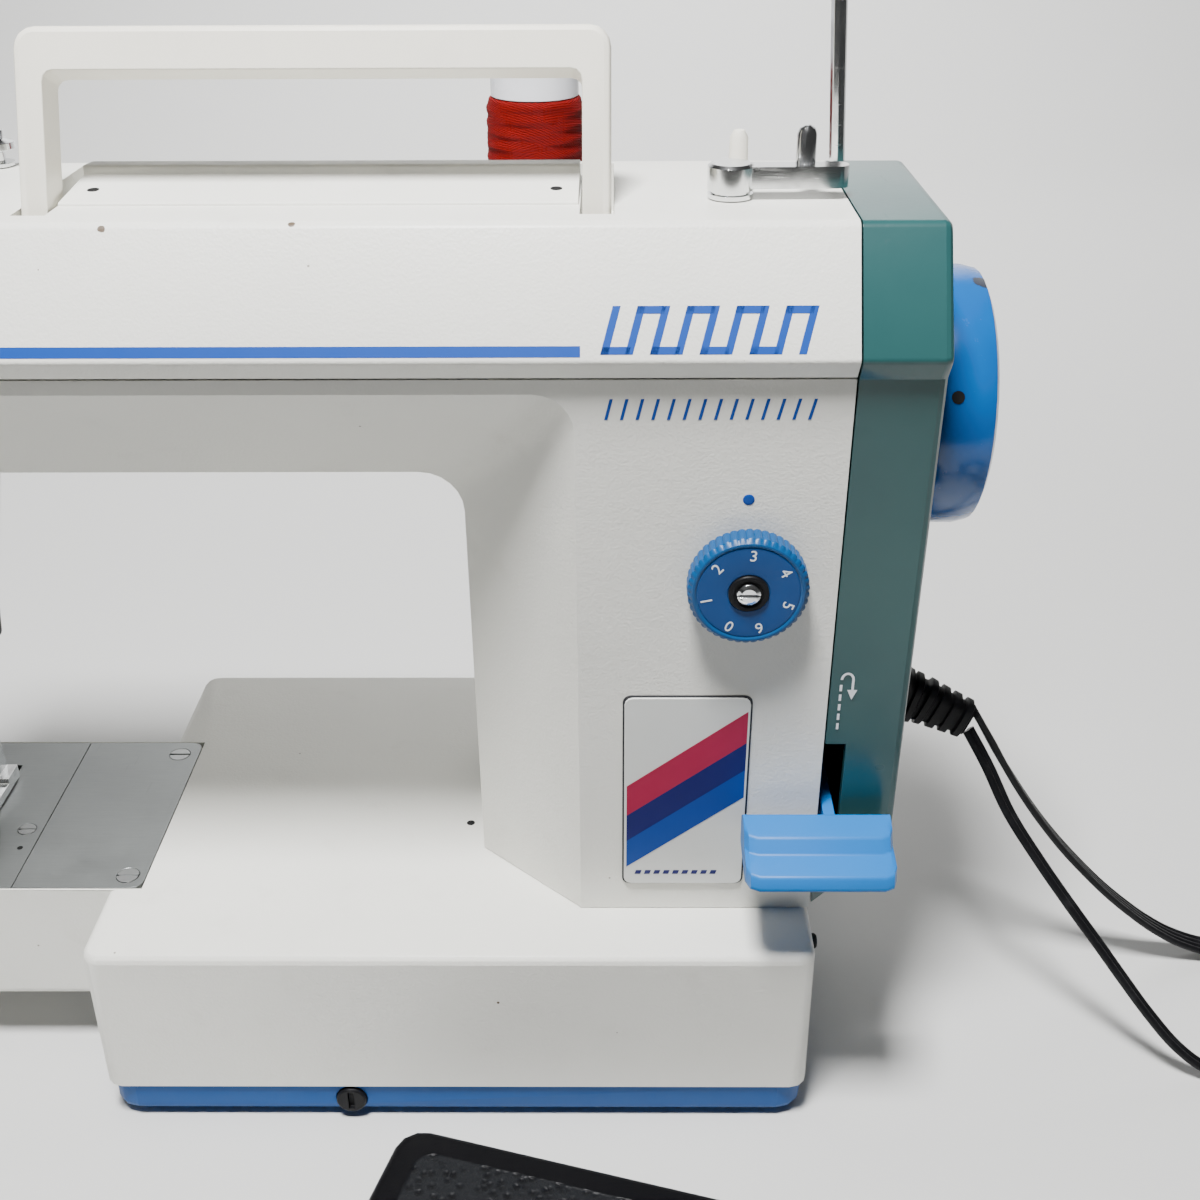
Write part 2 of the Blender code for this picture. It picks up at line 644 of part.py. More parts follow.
def main_drive():
    centre = (0.0, SHAFT_Y, SHAFT_Z)
    rod("main_shaft", 5.0, "X", centre, -214.0, 99.0, steps=16, metal=1.0)
    wheel = turned(
        "hand_wheel",
        [
            (99.3, 0.0),
            (99.3, 6.0),
            (77.0, 6.0),
            (77.0, 27.0),
            (81.5, 23.5),
            (86.0, 27.0),
            (88.0, 27.0),
            (88.0, 7.4),
            (97.2, 7.4),
            (97.2, 37.5),
            (98.5, 39.6),
            (101.0, WHEEL_RADIUS),
            (111.0, WHEEL_RADIUS),
            (115.5, 39.3),
            (117.0, 36.0),
            (116.0, 32.0),
            (113.0, 29.0),
            (112.5, 12.0),
            (115.0, 10.0),
            (115.0, 0.0),
        ],
        "X",
        centre,
        BLUE,
        40,
        rough=0.2,
    )
    shaft_seat = rod("wheel_seat", 5.3, "X", centre, 70.0, 99.3)
    cut(wheel, shaft_seat)
    crank = turned(
        "crank_disc",
        [(-222.0, 0.0), (-222.0, 20.0), (-215.0, 20.0), (-215.0, 7.0), (-214.3, 7.0), (-214.3, 0.0)],
        "X",
        centre,
        STEEL,
        28,
        metal=1.0,
    )
    pin = rod("crank_pin", 3.0, "X", (0.0, SHAFT_Y, SHAFT_Z + 14.0), -226.0, -218.0, steps=12)
    join(crank, pin)
    pulley = [(-26.0, 5.3), (-26.0, 22.6), (-24.8, 22.6), (-24.8, 20.6), (-17.2, 20.6), (-17.2, 22.6)]
    pulley += [(-16.0, 22.6), (-16.0, 5.3)]
    turned("upper_pulley", pulley, "X", centre, STEEL, 32, closed=True, metal=1.0)


def lower_drive():
    centre = (0.0, SHAFT_Y, LOWER_SHAFT_Z)
    rod("lower_shaft", 4.0, "X", centre, -233.0, -10.0, steps=16, metal=1.0)
    pulley = [(-26.0, 4.3), (-26.0, 12.1), (-24.8, 12.1), (-24.8, 10.1), (-17.2, 10.1), (-17.2, 12.1)]
    pulley += [(-16.0, 12.1), (-16.0, 4.3)]
    turned("lower_pulley", pulley, "X", centre, STEEL, 24, closed=True, metal=1.0)
    hook = [(-252.0, 0.0), (-252.0, 4.0), (-250.0, 4.0), (-250.0, 9.0), (-252.0, 9.0), (-252.0, 12.0)]
    hook += [(-250.0, 13.5), (-240.0, 13.5), (-238.0, 12.0), (-238.0, 6.0), (-233.3, 6.0), (-233.3, 0.0)]
    hook = turned("hook", hook, "X", centre, CHROME, 32, metal=1.0)
    bite = block("hook_mouth", (-247.0, -12.0, 49.0), (-243.0, 8.0, 60.0))
    cut(hook, bite)


def belt_outline(low, low_radius, high, high_radius, steps=14):
    """The closed outline of a belt round two circles, each given by its centre in Y and Z."""
    start, end = Vector(low), Vector(high)
    rise = end - start
    lean = math.asin((high_radius - low_radius) / rise.length)
    heading = math.atan2(rise[1], rise[0])
    points = []
    for centre, radius, first, sweep in (
        (start, low_radius, heading + math.pi / 2 + lean, math.pi - 2 * lean),
        (end, high_radius, heading - math.pi / 2 - lean, math.pi + 2 * lean),
    ):
        for step in range(steps + 1):
            turn = first + sweep * step / steps
            points.append(centre + radius * Vector((math.cos(turn), math.sin(turn))))
    return points


def belts():
    low, high = (SHAFT_Y, LOWER_SHAFT_Z), (SHAFT_Y, SHAFT_Z)
    loop = belt_outline(low, 11.9, high, 22.4)
    timing = extruded("timing_belt", loop, "X", -24.4, -17.6, BLACK, rough=0.8)
    inside = extruded("timing_belt_inside", belt_outline(low, 10.5, high, 21.0), "X", -40.0, -5.0)
    cut(timing, inside)
    motor, wheel = (MOTOR_Y, MOTOR_Z), (SHAFT_Y, SHAFT_Z)
    loop = belt_outline(motor, 10.2, wheel, 30.2)
    drive = extruded("drive_belt", loop, "X", 78.5, 84.5, BLACK, rough=0.8)
    drive_inside = extruded("drive_belt_inside", belt_outline(motor, 8.4, wheel, 28.2), "X", 70.0, 95.0)
    cut(drive, drive_inside)


def motor():
    centre = (0.0, MOTOR_Y, MOTOR_Z)
    profile = [(-12.0, 0.0), (-12.0, 9.0), (-6.0, 9.0), (-6.0, 20.0), (-2.0, 22.0), (52.0, 22.0)]
    profile += [(56.0, 20.0), (56.0, 9.0), (60.0, 9.0), (60.0, 0.0)]
    turned("motor", profile, "X", centre, (0.3, 0.3, 0.3), 28, rough=0.4, metal=1.0)
    profile = [(60.3, 0.0), (60.3, 3.0), (77.0, 3.0), (77.0, 8.2), (81.5, 6.4), (86.0, 8.2), (86.0, 0.0)]
    turned("motor_pulley", profile, "X", centre, STEEL, 20, metal=1.0)


# ---------------------------------------------------------------- head and needle


def needle_group():
    centre = (NEEDLE_X, SHAFT_Y, 0.0)
    profile = [(119.0, 0.0), (119.0, 4.6), (129.0, 4.6), (129.0, 3.0), (272.0, 3.0), (272.0, 0.0)]
    turned("needle_bar", profile, "Z", centre, CHROME, 20, metal=1.0)
    profile = [(82.0, 0.0), (88.0, 0.55), (100.0, 0.6), (101.0, 1.0), (118.7, 1.0), (118.7, 0.0)]
    turned("needle", profile, "Z", centre, CHROME, 12, metal=1.0)
    x, y = NEEDLE_X, PRESSER_Y
    profile = [(92.0, 0.0), (92.0, 3.5), (252.0, 3.5), (252.0, 0.0)]
    turned("presser_bar", profile, "Z", (x, y, 0.0), CHROME, 20, metal=1.0)
    side = [(-27.0, 77.0), (-24.0, 72.6), (13.0, 72.6), (13.0, 77.0), (12.0, 91.7), (3.5, 91.7), (3.0, 76.0)]
    foot = extruded("presser_foot", side, "X", x - 8, x + 8, STEEL, rough=0.25, metal=1.0)
    foot_slot = block("foot_slot", (x - 2.0, -30.0, 70.0), (x + 2.0, -6.0, 80.0))
    for sign in (-1, 1):
        edge = sorted((x + sign * 4.0, x + sign * 12.0))
        cheek = block(f"foot_cheek_{sign + 1}", (edge[0], 1.0, 78.0), (edge[1], 20.0, 100.0))
        cut(foot, cheek)
    cut(foot, foot_slot)


def take_up():
    pivot = (NEEDLE_X, -38.0, 232.0)
    outline = [(-35.0, 226.5, 3), (-33.0, 236.5, 3), (-60.0, 245.5, 4), (-95.0, 251.0, 2), (-97.0, 246.5, 2)]
    outline += [(-61.0, 239.5, 4)]
    bm = bmesh.new()
    section = filleted(outline)
    lofted(bm, [[(x, p[0], p[1]) for p in section] for x in (NEEDLE_X - 1.5, NEEDLE_X + 1.5)])
    made("take_up_lever", bm, CHROME, rough=0.2, metal=1.0, origin=pivot)


def lifter():
    """The lever behind the head that raises the presser bar. It turns on a stub through the rear wall."""
    pivot = (NEEDLE_X, HEAD_REAR, 176.0)
    outline = [(-236.0, 181.0, 4), (-228.0, 181.0, 4), (-227.0, 140.0, 3), (-229.0, 122.0, 3)]
    outline += [(-235.0, 122.0, 3), (-237.0, 140.0, 3)]
    bm = bmesh.new()
    section = filleted(outline)
    lofted(bm, [[(p[0], y, p[1]) for p in section] for y in (HEAD_REAR + 1.0, HEAD_REAR + 5.0)])
    made("lifter_lever", bm, BLACK, rough=0.4, origin=pivot)


def feed_dog():
    x = NEEDLE_X
    high = (x + 5.2, 17.5, BED_TOP + 0.2)
    body = block("feed_dog", (x - 5.2, -1.5, 60.0), high, STEEL, rough=0.35, metal=1.0)
    for number in range(7):
        y = -0.6 + number * 2.6
        tooth = [(y, BED_TOP + 1), (y + 1.9, BED_TOP + 1), (y + 1.9, BED_TOP - 0.8)]
        cut(body, extruded(f"tooth_gap_{number}", tooth, "X", x - 8, x + 8))
    middle = block("feed_middle", (x - 1.6, -4.0, 68.5), (x + 1.6, 20.0, 80.0))
    cut(body, middle)


# ---------------------------------------------------------------- controls


def on_front(obj):
    """Turns a piece made along +Z so that it stands out of the leaning front face."""
    obj.rotation_euler = (math.radians(90) + math.atan(FACE_SLOPE), 0.0, 0.0)
    return obj


def dial():
    place = (DIAL_X, front_y(DIAL_Z), DIAL_Z)
    profile = [(0.5, 0.0), (0.5, 16.6), (1.5, 17.3), (7.2, 17.3), (8.4, 16.2)]
    profile += [(8.0, 15.2), (8.0, 5.7), (6.5, 5.7)]
    profile += [(6.5, 0.0)]
    dial = on_front(turned("stitch_dial", profile, "Z", (0.0, 0.0, 0.0), BLUE, 48, rough=0.4))
    dial.location = Vector(place) * MM
    profile = [(6.8, 0.0), (6.8, 5.2), (7.6, 5.2), (7.6, 3.7), (9.2, 3.4), (9.8, 2.2), (9.8, 0.0)]
    screw = turned("dial_screw", profile, "Z", (0.0, 0.0, 0.0), CHROME, 24, rough=0.2, metal=1.0)
    on_front(screw).location = Vector(place) * MM
    slot = block("dial_screw_slot", (-4.0, -0.5, 8.8), (4.0, 0.5, 12.0))
    on_front(slot).location = Vector(place) * MM
    cut(screw, slot)


def tension():
    place = (TENSION_X, front_y(TENSION_Z), TENSION_Z)
    profile = [(0.5, 0.0), (0.5, 8.5), (2.0, 8.5), (2.0, 6.0), (4.0, 6.0), (4.0, 9.0)]
    profile += [(12.0, 8.5), (13.0, 7.5)]
    profile += [(13.0, 0.0)]
    knob = turned("tension_knob", profile, "Z", (0.0, 0.0, 0.0), BLUE, 28, rough=0.4)
    on_front(knob).location = Vector(place) * MM


def reverse_lever():
    x0, x1 = 45.0, 91.5
    side = [(-71.0, 116.0, 1.5), (-75.0, 119.0, 2), (-85.0, 117.5, 2), (-88.0, 113.0, 1.5)]
    side += [(-97.0, 111.5, 1.5)]
    side += [(-98.5, 107.0, 1.5), (-95.0, 104.5, 1.5), (-71.0, 106.0, 1.5)]
    paddle = filleted(side)
    bm = bmesh.new()
    rings = []
    left = ((4.0, x0), (1.2, x0 + 1.2), (0.0, x0 + 4.0))
    right = ((0.0, x1 - 4.0), (1.2, x1 - 1.2), (4.0, x1))
    for inset, x in left + right:
        rings.append([(x, p[0] + inset * (p[0] < -80) * 1.2, p[1]) for p in paddle])
    lofted(bm, rings)
    lever = made("reverse_lever", bm, PALE_BLUE, rough=0.3, origin=REVERSE_PIVOT)
    stem = [(-74.0, 115.0), (-30.0, 117.0), (-19.0, 112.0), (-30.0, 107.0), (-74.0, 107.0)]
    stem_bar = extruded("lever_stem", stem, "X", REVERSE_PIVOT[0] - 1.8, REVERSE_PIVOT[0] + 1.8)
    join(lever, stem_bar)


def carry_handle():
    """The folding handle: a bar on two legs, with a stub axle out of each leg. It leans back at rest."""
    y, z = HANDLE_PIVOT
    half = HANDLE_DEEP / 2
    top = z + HANDLE_REACH
    outer = [(HANDLE_LEFT, z - 4.5, 4), (HANDLE_RIGHT, z - 4.5, 4)]
    outer += [(HANDLE_RIGHT, top, 6), (HANDLE_LEFT, top, 6)]
    x0, x1 = HANDLE_LEFT + HANDLE_LEG, HANDLE_RIGHT - HANDLE_LEG
    inner = [(x0, z - 30), (x1, z - 30), (x1, top - 12.0), (x0, top - 12.0)]
    bm = bmesh.new()
    rings = []
    front = ((2.0, -half), (0.6, -half + 0.6), (0.0, -half + 2))
    rear = ((0.0, half - 2), (0.6, half - 0.6), (2.0, half))
    for inset, place in front + rear:
        corners = []
        for a, b, radius in outer:
            sideways = inset if a < HANDLE_MIDDLE else -inset
            upwards = inset if b < z else -inset
            corners.append((a + sideways, b + upwards, radius - inset))
        rings.append([(p[0], y + place, p[1]) for p in filleted(corners, 4)])
    lofted(bm, rings)
    handle = made("carry_handle", bm, IVORY, rough=0.4, origin=(HANDLE_MIDDLE, y, z))
    opening = filleted([(a, b, 3.0 if b > z else 0.0) for a, b in inner])
    window = extruded("handle_window", opening, "Y", y - 20, y + 20)
    cut(handle, window)
    for number, x in enumerate((HANDLE_LEFT, HANDLE_RIGHT - HANDLE_LEG)):
        axle = rod(f"handle_axle_{number}", 2.0, "X", (x + 4.0, y, z), -7.5, 7.5)
        join(handle, axle)
        lean(axle, (x + 4.0, y, z), (HANDLE_MIDDLE, y, z))
    lean(window, (0.0, 0.0, 0.0), (HANDLE_MIDDLE, y, z))
    lean(handle, (HANDLE_MIDDLE, y, z), (HANDLE_MIDDLE, y, z))


def lean(obj, origin, pivot):
    """Turns a piece back about the handle's axle, to its resting place."""
    turn = Matrix.Rotation(math.radians(-HANDLE_LEAN), 4, "X")
    about = Matrix.Translation(Vector(pivot) * MM)
    obj.matrix_local = about @ turn @ about.inverted() @ Matrix.Translation(Vector(origin) * MM)


def winder():
    """The bobbin winder: a lever on a round hub, with a thumb post, beside the bobbin's spindle."""
    x, y = WINDER_HUB
    hub = [(0.4, 0.0), (0.4, 6.4), (1.6, 6.4), (1.6, 5.6), (2.6, 5.6)]
    hub += [(2.6, 6.6), (9.0, 6.6), (9.8, 5.6), (9.8, 0.0)]
    lever = turned("winder_lever", hub, "Z", (x, y, COVER_TOP), CHROME, 28, rough=0.12, metal=1.0)
    outline = filleted([(x, -38.5, 0), (x + 33, -38.0, 3.3), (x + 33, -31.0, 3.3), (x, -31.0, 0)])
    bar = extruded("winder_bar", outline, "Z", COVER_TOP + 3.2, COVER_TOP + 9.2)
    profile = [(5.0, 0.0), (5.0, 2.8), (17.0, 2.8), (18.6, 2.2), (19.4, 1.0), (19.5, 0.0)]
    post = turned("winder_post", profile, "Z", (58.0, -32.5, COVER_TOP), steps=16)
    join(lever, bar, post)
    profile = [(0.4, 0.0), (0.4, 5.0), (1.6, 5.0), (1.6, 2.9), (12.0, 2.7), (14.0, 1.6), (14.0, 0.0)]
    turned("winder_spindle", profile, "Z", (*SPINDLE, COVER_TOP), IVORY, 20, rough=0.4)


def thread_stand():
    foot, top = Vector(ROD_FOOT), Vector(ROD_TOP)
    tube("thread_rod", [foot, foot.lerp(top, 0.5), top], 2.5, 80.0, CHROME, 0.12, 1.0)
    reach = [top + Vector((-0.3, 0.0, 4.0)), (40.0, 30.0, 494.5), (0.0, 62.0, 494.5), (-22.0, 78.0, 494.0)]
    reach += [(-30.0, 82.0, 491.0), (-28.0, 80.0, 486.0), (-22.0, 74.0, 486.0)]
    tube("thread_guide", reach, 1.4, 12.0, CHROME, 0.12, 1.0)
    near = CASTING_REAR + 0.3
    plate = [(-46.0, near, 0), (0.0, near, 0), (0.0, 102.0, 12), (-46.0, 102.0, 12)]
    plate = filleted(plate)
    bracket = extruded("spool_bracket", plate, "Z", SPOOL_FLOOR - 3, SPOOL_FLOOR, STEEL, rough=0.3, metal=1.0)
    flange = block("bracket_flange", (-46.0, near, 236.0), (0.0, near + 3.0, SPOOL_FLOOR - 1))
    profile = [(-2.0, 0.0), (-2.0, 2.8), (71.0, 2.8), (73.0, 1.5), (73.0, 0.0)]
    pin = turned("spool_pin", profile, "Z", (*SPOOL, SPOOL_FLOOR), steps=16)
    join(bracket, flange, pin)
    profile = [(0.5, 3.6), (0.5, 18.0), (3.0, 18.0), (3.0, 12.0), (50.3, 12.0)]
    profile += [(50.3, 15.3), (67.5, 15.3), (68.0, 14.5)]
    profile += [(68.0, 3.6)]
    turned("spool", profile, "Z", (*SPOOL, SPOOL_FLOOR), (0.85, 0.85, 0.86), 32, closed=True, rough=0.35)
    profile = [(3.3, 12.3), (3.3, 16.4), (8.0, 16.9), (46.0, 16.9), (50.0, 16.2), (50.0, 12.3)]
    turned("thread_winding", profile, "Z", (*SPOOL, SPOOL_FLOOR), THREAD, 32, closed=True, rough=0.8)
    profile = [(0.4, 0.0), (0.4, 5.0), (1.5, 5.0), (1.5, 2.5), (4.5, 2.5)]
    profile += [(5.5, 6.0), (7.5, 6.0), (8.5, 3.0)]
    profile += [(11.0, 3.0), (11.5, 2.0), (11.5, 0.0)]
    turned("pretension_post", profile, "Z", (-186.0, 10.0, COVER_TOP), CHROME, 24, rough=0.12, metal=1.0)


# ---------------------------------------------------------------- pedal and leads


def on_floor(obj):
    """Turns and places a piece made about the pedal's middle."""
    turn = Matrix.Rotation(math.radians(PEDAL_TURN), 3, "Z")
    obj.rotation_euler = turn.to_euler()
    obj.location = Vector((PEDAL_X, PEDAL_Y, 0.0)) * MM + turn @ obj.location


def pedal():
    """A low base with a cable gland, under a treadle that turns down on a hinge along its rear."""
    x, y = PEDAL_LONG / 2, PEDAL_DEEP / 2
    low, high = (-x + 4, -y + 4, 0.0), (x - 4, y - 4, PEDAL_BASE_TOP)
    base_box = soft_block("pedal_base", low, high, 6.0, 1.5, 1.0, BLACK, rough=0.55)
    gland = rod("pedal_gland", 3.2, "X", (0.0, 0.0, PEDAL_GLAND_Z), x - 10, x + 16)
    well = block("pedal_well", (-x + 7, -y + 7, 3.0), (x - 7, y - 7, PEDAL_BASE_TOP + 5))
    cut(base_box, well)
    join(base_box, gland)
    hinge = (0.0, y - 6, PEDAL_SKIRT)
    bm = bmesh.new()
    lofted(bm, soft_rings((-x, -y, PEDAL_SKIRT), (x, y, PEDAL_TOP), 9.0, 0.0, 2.5))
    treadle = made("pedal_plate", bm, BLACK, rough=0.6, origin=hinge)
    low, high = (-x + 2.5, -y + 2.5, PEDAL_SKIRT - 5), (x - 2.5, y - 2.5, PEDAL_TOP - 3)
    underside = soft_block("treadle_hollow", low, high, 7.0)
    cut(treadle, underside)
    for piece in (base_box, gland, well, treadle, underside):
        on_floor(piece)


def connector():
    """The black plug on the side of the cover, whose ribbed strain relief bends down to the leads."""
    bm = bmesh.new()
    rings = []
    stages = [(95.3, -10.0, 124.0, 7.0, 11.0), (105.0, -10.0, 124.0, 7.0, 11.0)]
    stages += [(107.0, -10.2, 123.5, 6.0, 9.5)]
    stages += [(113.0, -11.0, 121.8, 5.6, 8.6), (120.0, -12.2, 119.0, 5.2, 7.8)]
    stages += [(128.0, -13.5, 115.8, 4.8, 7.2)]
    for x, y, z, wide, tall in stages:
        outline = filleted([(-wide, -tall, 3), (wide, -tall, 3), (wide, tall, 3), (-wide, tall, 3)])
        rings.append([(x + p[1] * 0.25 * (x - 95.3) / 33, y + p[0], z + p[1]) for p in outline])
    lofted(bm, rings)
    made("connector_plug", bm, BLACK, rough=0.5)


def leads():
    tube("mains_lead", MAINS_ROUTE, MAINS_TUBE, 9.0)
    tube("pedal_lead", PEDAL_ROUTE, PEDAL_TUBE, 10.0)
    tube("pedal_lead_end", PEDAL_END_ROUTE, PEDAL_TUBE, 7.0)
    bush("mains_coil", 21.5, 38.5, "Z", (*MAINS_COIL, 0.0), 0.2, 13.0, BLACK, 32, rough=0.5)
    bush("pedal_lead_coil", 36.5, 66.5, "Z", (*PEDAL_COIL, 0.0), 0.2, 3.4, BLACK, 40, rough=0.5)
    low, high = (215.0, -160.0, 0.3), (244.0, -146.0, 13.3)
    plug = soft_block("mains_plug", low, high, 4.0, 2.0, 2.0, BLACK, rough=0.4)
    for number, y in enumerate((-159.35, -146.65)):
        side = sorted((y, y + (-153 - y) * 0.236))
        blade = block(f"plug_blade_{number}", (198.0, side[0], 3.6), (219.0, side[1], 9.9))
        join(plug, blade)


# ---------------------------------------------------------------- build

for leftover in list(bpy.data.objects):
    bpy.data.objects.remove(leftover)

machine = bpy.data.objects.new("machine_frame", None)
bpy.context.scene.collection.objects.link(machine)
machine.location = Vector(MACHINE_FRAME) * MM

base()
tray_and_feet()
plates()
hook_door()
upper_casting()
face_cover()
badge()
top_cover()
end_cover()
main_drive()
lower_drive()
belts()
motor()
needle_group()
take_up()
lifter()
feed_dog()
dial()
tension()
reverse_lever()
carry_handle()
winder()
thread_stand()
pedal()
connector()
leads()
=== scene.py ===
import json
import math

import bmesh
import bpy
import numpy as np
from mathutils import Matrix, Vector


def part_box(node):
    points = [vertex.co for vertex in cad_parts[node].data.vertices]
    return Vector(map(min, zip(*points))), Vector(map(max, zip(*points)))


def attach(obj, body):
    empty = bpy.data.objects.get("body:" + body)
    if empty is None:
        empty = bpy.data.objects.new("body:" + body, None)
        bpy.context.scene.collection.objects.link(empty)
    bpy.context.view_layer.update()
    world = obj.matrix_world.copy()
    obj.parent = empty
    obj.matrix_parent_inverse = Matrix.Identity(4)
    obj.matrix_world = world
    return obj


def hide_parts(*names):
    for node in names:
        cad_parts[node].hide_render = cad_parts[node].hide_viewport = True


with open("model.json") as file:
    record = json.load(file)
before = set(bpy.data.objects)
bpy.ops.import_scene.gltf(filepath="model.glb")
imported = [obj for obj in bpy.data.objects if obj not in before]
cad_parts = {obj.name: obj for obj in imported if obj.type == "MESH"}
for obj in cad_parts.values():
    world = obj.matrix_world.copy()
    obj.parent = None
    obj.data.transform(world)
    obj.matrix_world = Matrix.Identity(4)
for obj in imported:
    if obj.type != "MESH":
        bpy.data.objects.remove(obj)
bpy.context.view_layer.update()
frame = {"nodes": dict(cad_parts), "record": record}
nodes = frame["nodes"]
bodies = frame["record"]["behaviour"]["bodies"]
nodeBody = {node: body for body, members in bodies.items() for node in members}
print("frame loaded:", len(nodes), "nodes")

# The machine's own frame: millimetres, X = 0 and Y = 0 at the middle of the base, Z = 0 on the table.
bedLow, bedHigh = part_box("bed_casting")
machineOrigin = np.array([bedHigh[0] - 0.070, (bedLow[1] + bedHigh[1]) / 2, 0.0])


def place(points):
    # machine millimetres to row metres: p / 1000 + origin
    return np.asarray(points, float) / 1000 + machineOrigin


# ---- camera and light

cameraSetup = {"spot": (3.4, -457.6, 400.3), "pitch": 28.104, "yaw": -0.489, "roll": -0.287, "lens": 44.54}


def makeCamera(setup):
    data = bpy.data.cameras.new("camera")
    data.lens = setup["lens"]
    data.sensor_width = 36.0
    data.clip_start, data.clip_end = 0.01, 20.0
    camera = bpy.data.objects.new("camera", data)
    bpy.context.scene.collection.objects.link(camera)
    turn = Matrix.Rotation(math.radians(-setup["yaw"]), 4, "Z")
    turn = turn @ Matrix.Rotation(math.radians(90 - setup["pitch"]), 4, "X")
    turn = turn @ Matrix.Rotation(math.radians(setup["roll"]), 4, "Z")
    camera.matrix_world = Matrix.Translation(Vector(place(setup["spot"]))) @ turn
    bpy.context.scene.camera = camera


makeCamera(cameraSetup)

lightSetup = {
    "key": {"spot": (-140.0, -400.0, 1270.0), "aim": (-60.0, 0.0, 120.0), "size": 0.24, "power": 42.0},
    "fill": {"spot": (-900.0, -1000.0, 1100.0), "aim": (0.0, 0.0, 150.0), "size": 1.8, "power": 0.6},
    "wall": {"spot": (0.0, 1100.0, 1500.0), "aim": (0.0, 2000.0, 700.0), "size": 1.2, "power": 64.0},
}
worldLight = {"color": (0.97, 0.98, 0.97), "strength": 0.05}


def makeLights(setup, world):
    for name, lamp in setup.items():
        data = bpy.data.lights.new(name, "AREA")
        data.shape = "SQUARE"
        data.size = lamp["size"]
        data.energy = lamp["power"]
        light = bpy.data.objects.new(name, data)
        bpy.context.scene.collection.objects.link(light)
        spot, aim = Vector(place(lamp["spot"])), Vector(place(lamp["aim"]))
        light.location = spot
        light.rotation_mode = "QUATERNION"
        light.rotation_quaternion = (aim - spot).to_track_quat("-Z", "Y")
    sky = bpy.data.worlds.new("studio")
    sky.use_nodes = True
    sky.node_tree.nodes["Background"].inputs["Color"].default_value = (*world["color"], 1.0)
    sky.node_tree.nodes["Background"].inputs["Strength"].default_value = world["strength"]
    bpy.context.scene.world = sky


makeLights(lightSetup, worldLight)
print("camera and lights placed")

# ---- shader maths


class Wire:
    # wraps a shader socket, so that + - * / and ** on it add Math nodes
    def __init__(self, finish, socket):
        self.finish = finish
        self.socket = socket

    def math(self, operation, *others):
        values = dict(enumerate((self, *others)))
        return self.finish.node("ShaderNodeMath", {"operation": operation}, values)

    def __add__(self, other):
        return self.math("ADD", other)

    def __radd__(self, other):
        return self.math("ADD", other)

    def __sub__(self, other):
        return self.math("SUBTRACT", other)

    def __rsub__(self, other):
        return self.finish.node("ShaderNodeMath", {"operation": "SUBTRACT"}, {0: other, 1: self})

    def __mul__(self, other):
        return self.math("MULTIPLY", other)

    def __rmul__(self, other):
        return self.math("MULTIPLY", other)

    def __truediv__(self, other):
        return self.math("DIVIDE", other)

    def __pow__(self, other):
        return self.math("POWER", other)

    def ramp(self, low, high):
        # 0 below low, 1 above high, smooth between
        settings = {"interpolation_type": "SMOOTHSTEP"}
        return self.finish.node("ShaderNodeMapRange", settings, {0: self, 1: low, 2: high, 3: 0.0, 4: 1.0})


class Finish:
    # one material, with a single method that adds any node
    def __init__(self, name, base, rough, metal=0.0, coat=0.0, specular=0.3):
        self.material = bpy.data.materials.new(name)
        self.material.use_nodes = True
        self.tree = self.material.node_tree
        self.shader = self.tree.nodes["Principled BSDF"]
        self.set("Base Color", (*base, 1.0))
        self.set("Roughness", rough)
        self.set("Metallic", metal)
        self.set("Coat Weight", coat)
        self.set("Coat Roughness", 0.16)
        self.set("Specular IOR Level", specular)
        self.place = self.node("ShaderNodeTexCoord", {}, {}, "Object")

    def node(self, kind, settings, values, out=0):
        new = self.tree.nodes.new(kind)
        for key, value in settings.items():
            setattr(new, key, value)
        for key, value in values.items():
            if isinstance(value, Wire):
                self.tree.links.new(value.socket, new.inputs[key])
            else:
                new.inputs[key].default_value = value
        return Wire(self, new.outputs[out])

    def set(self, name, value):
        if isinstance(value, Wire):
            self.tree.links.new(value.socket, self.shader.inputs[name])
        else:
            self.shader.inputs[name].default_value = value

    def stretched(self, scale, shift=(0.0, 0.0, 0.0)):
        return self.node("ShaderNodeMapping", {}, {"Vector": self.place, "Scale": scale, "Location": shift})

    def noise(self, scale, detail=2.0, rough=0.5, where=None):
        values = {"Vector": where or self.place, "Scale": scale, "Detail": detail, "Roughness": rough}
        return self.node("ShaderNodeTexNoise", {}, values, "Fac")

    def cells(self, scale, where=None, out="Distance"):
        return self.node("ShaderNodeTexVoronoi", {}, {"Vector": where or self.place, "Scale": scale}, out)

    def blend(self, share, first, second):
        # sockets 6 and 7 of a Mix node are its two colours, and output 2 is the mixed colour
        first, second = [colour if isinstance(colour, Wire) else (*colour, 1.0) for colour in (first, second)]
        return self.node("ShaderNodeMix", {"data_type": "RGBA"}, {0: share, 6: first, 7: second}, 2)

    def bump(self, height, depth, strength=1.0):
        wire = self.node("ShaderNodeBump", {}, {"Height": height, "Distance": depth, "Strength": strength})
        self.set("Normal", wire)

    def away(self, point):
        # distance in metres from a point of the machine
        values = {0: self.place, 1: tuple(place(point))}
        return self.node("ShaderNodeVectorMath", {"operation": "DISTANCE"}, values, "Value")


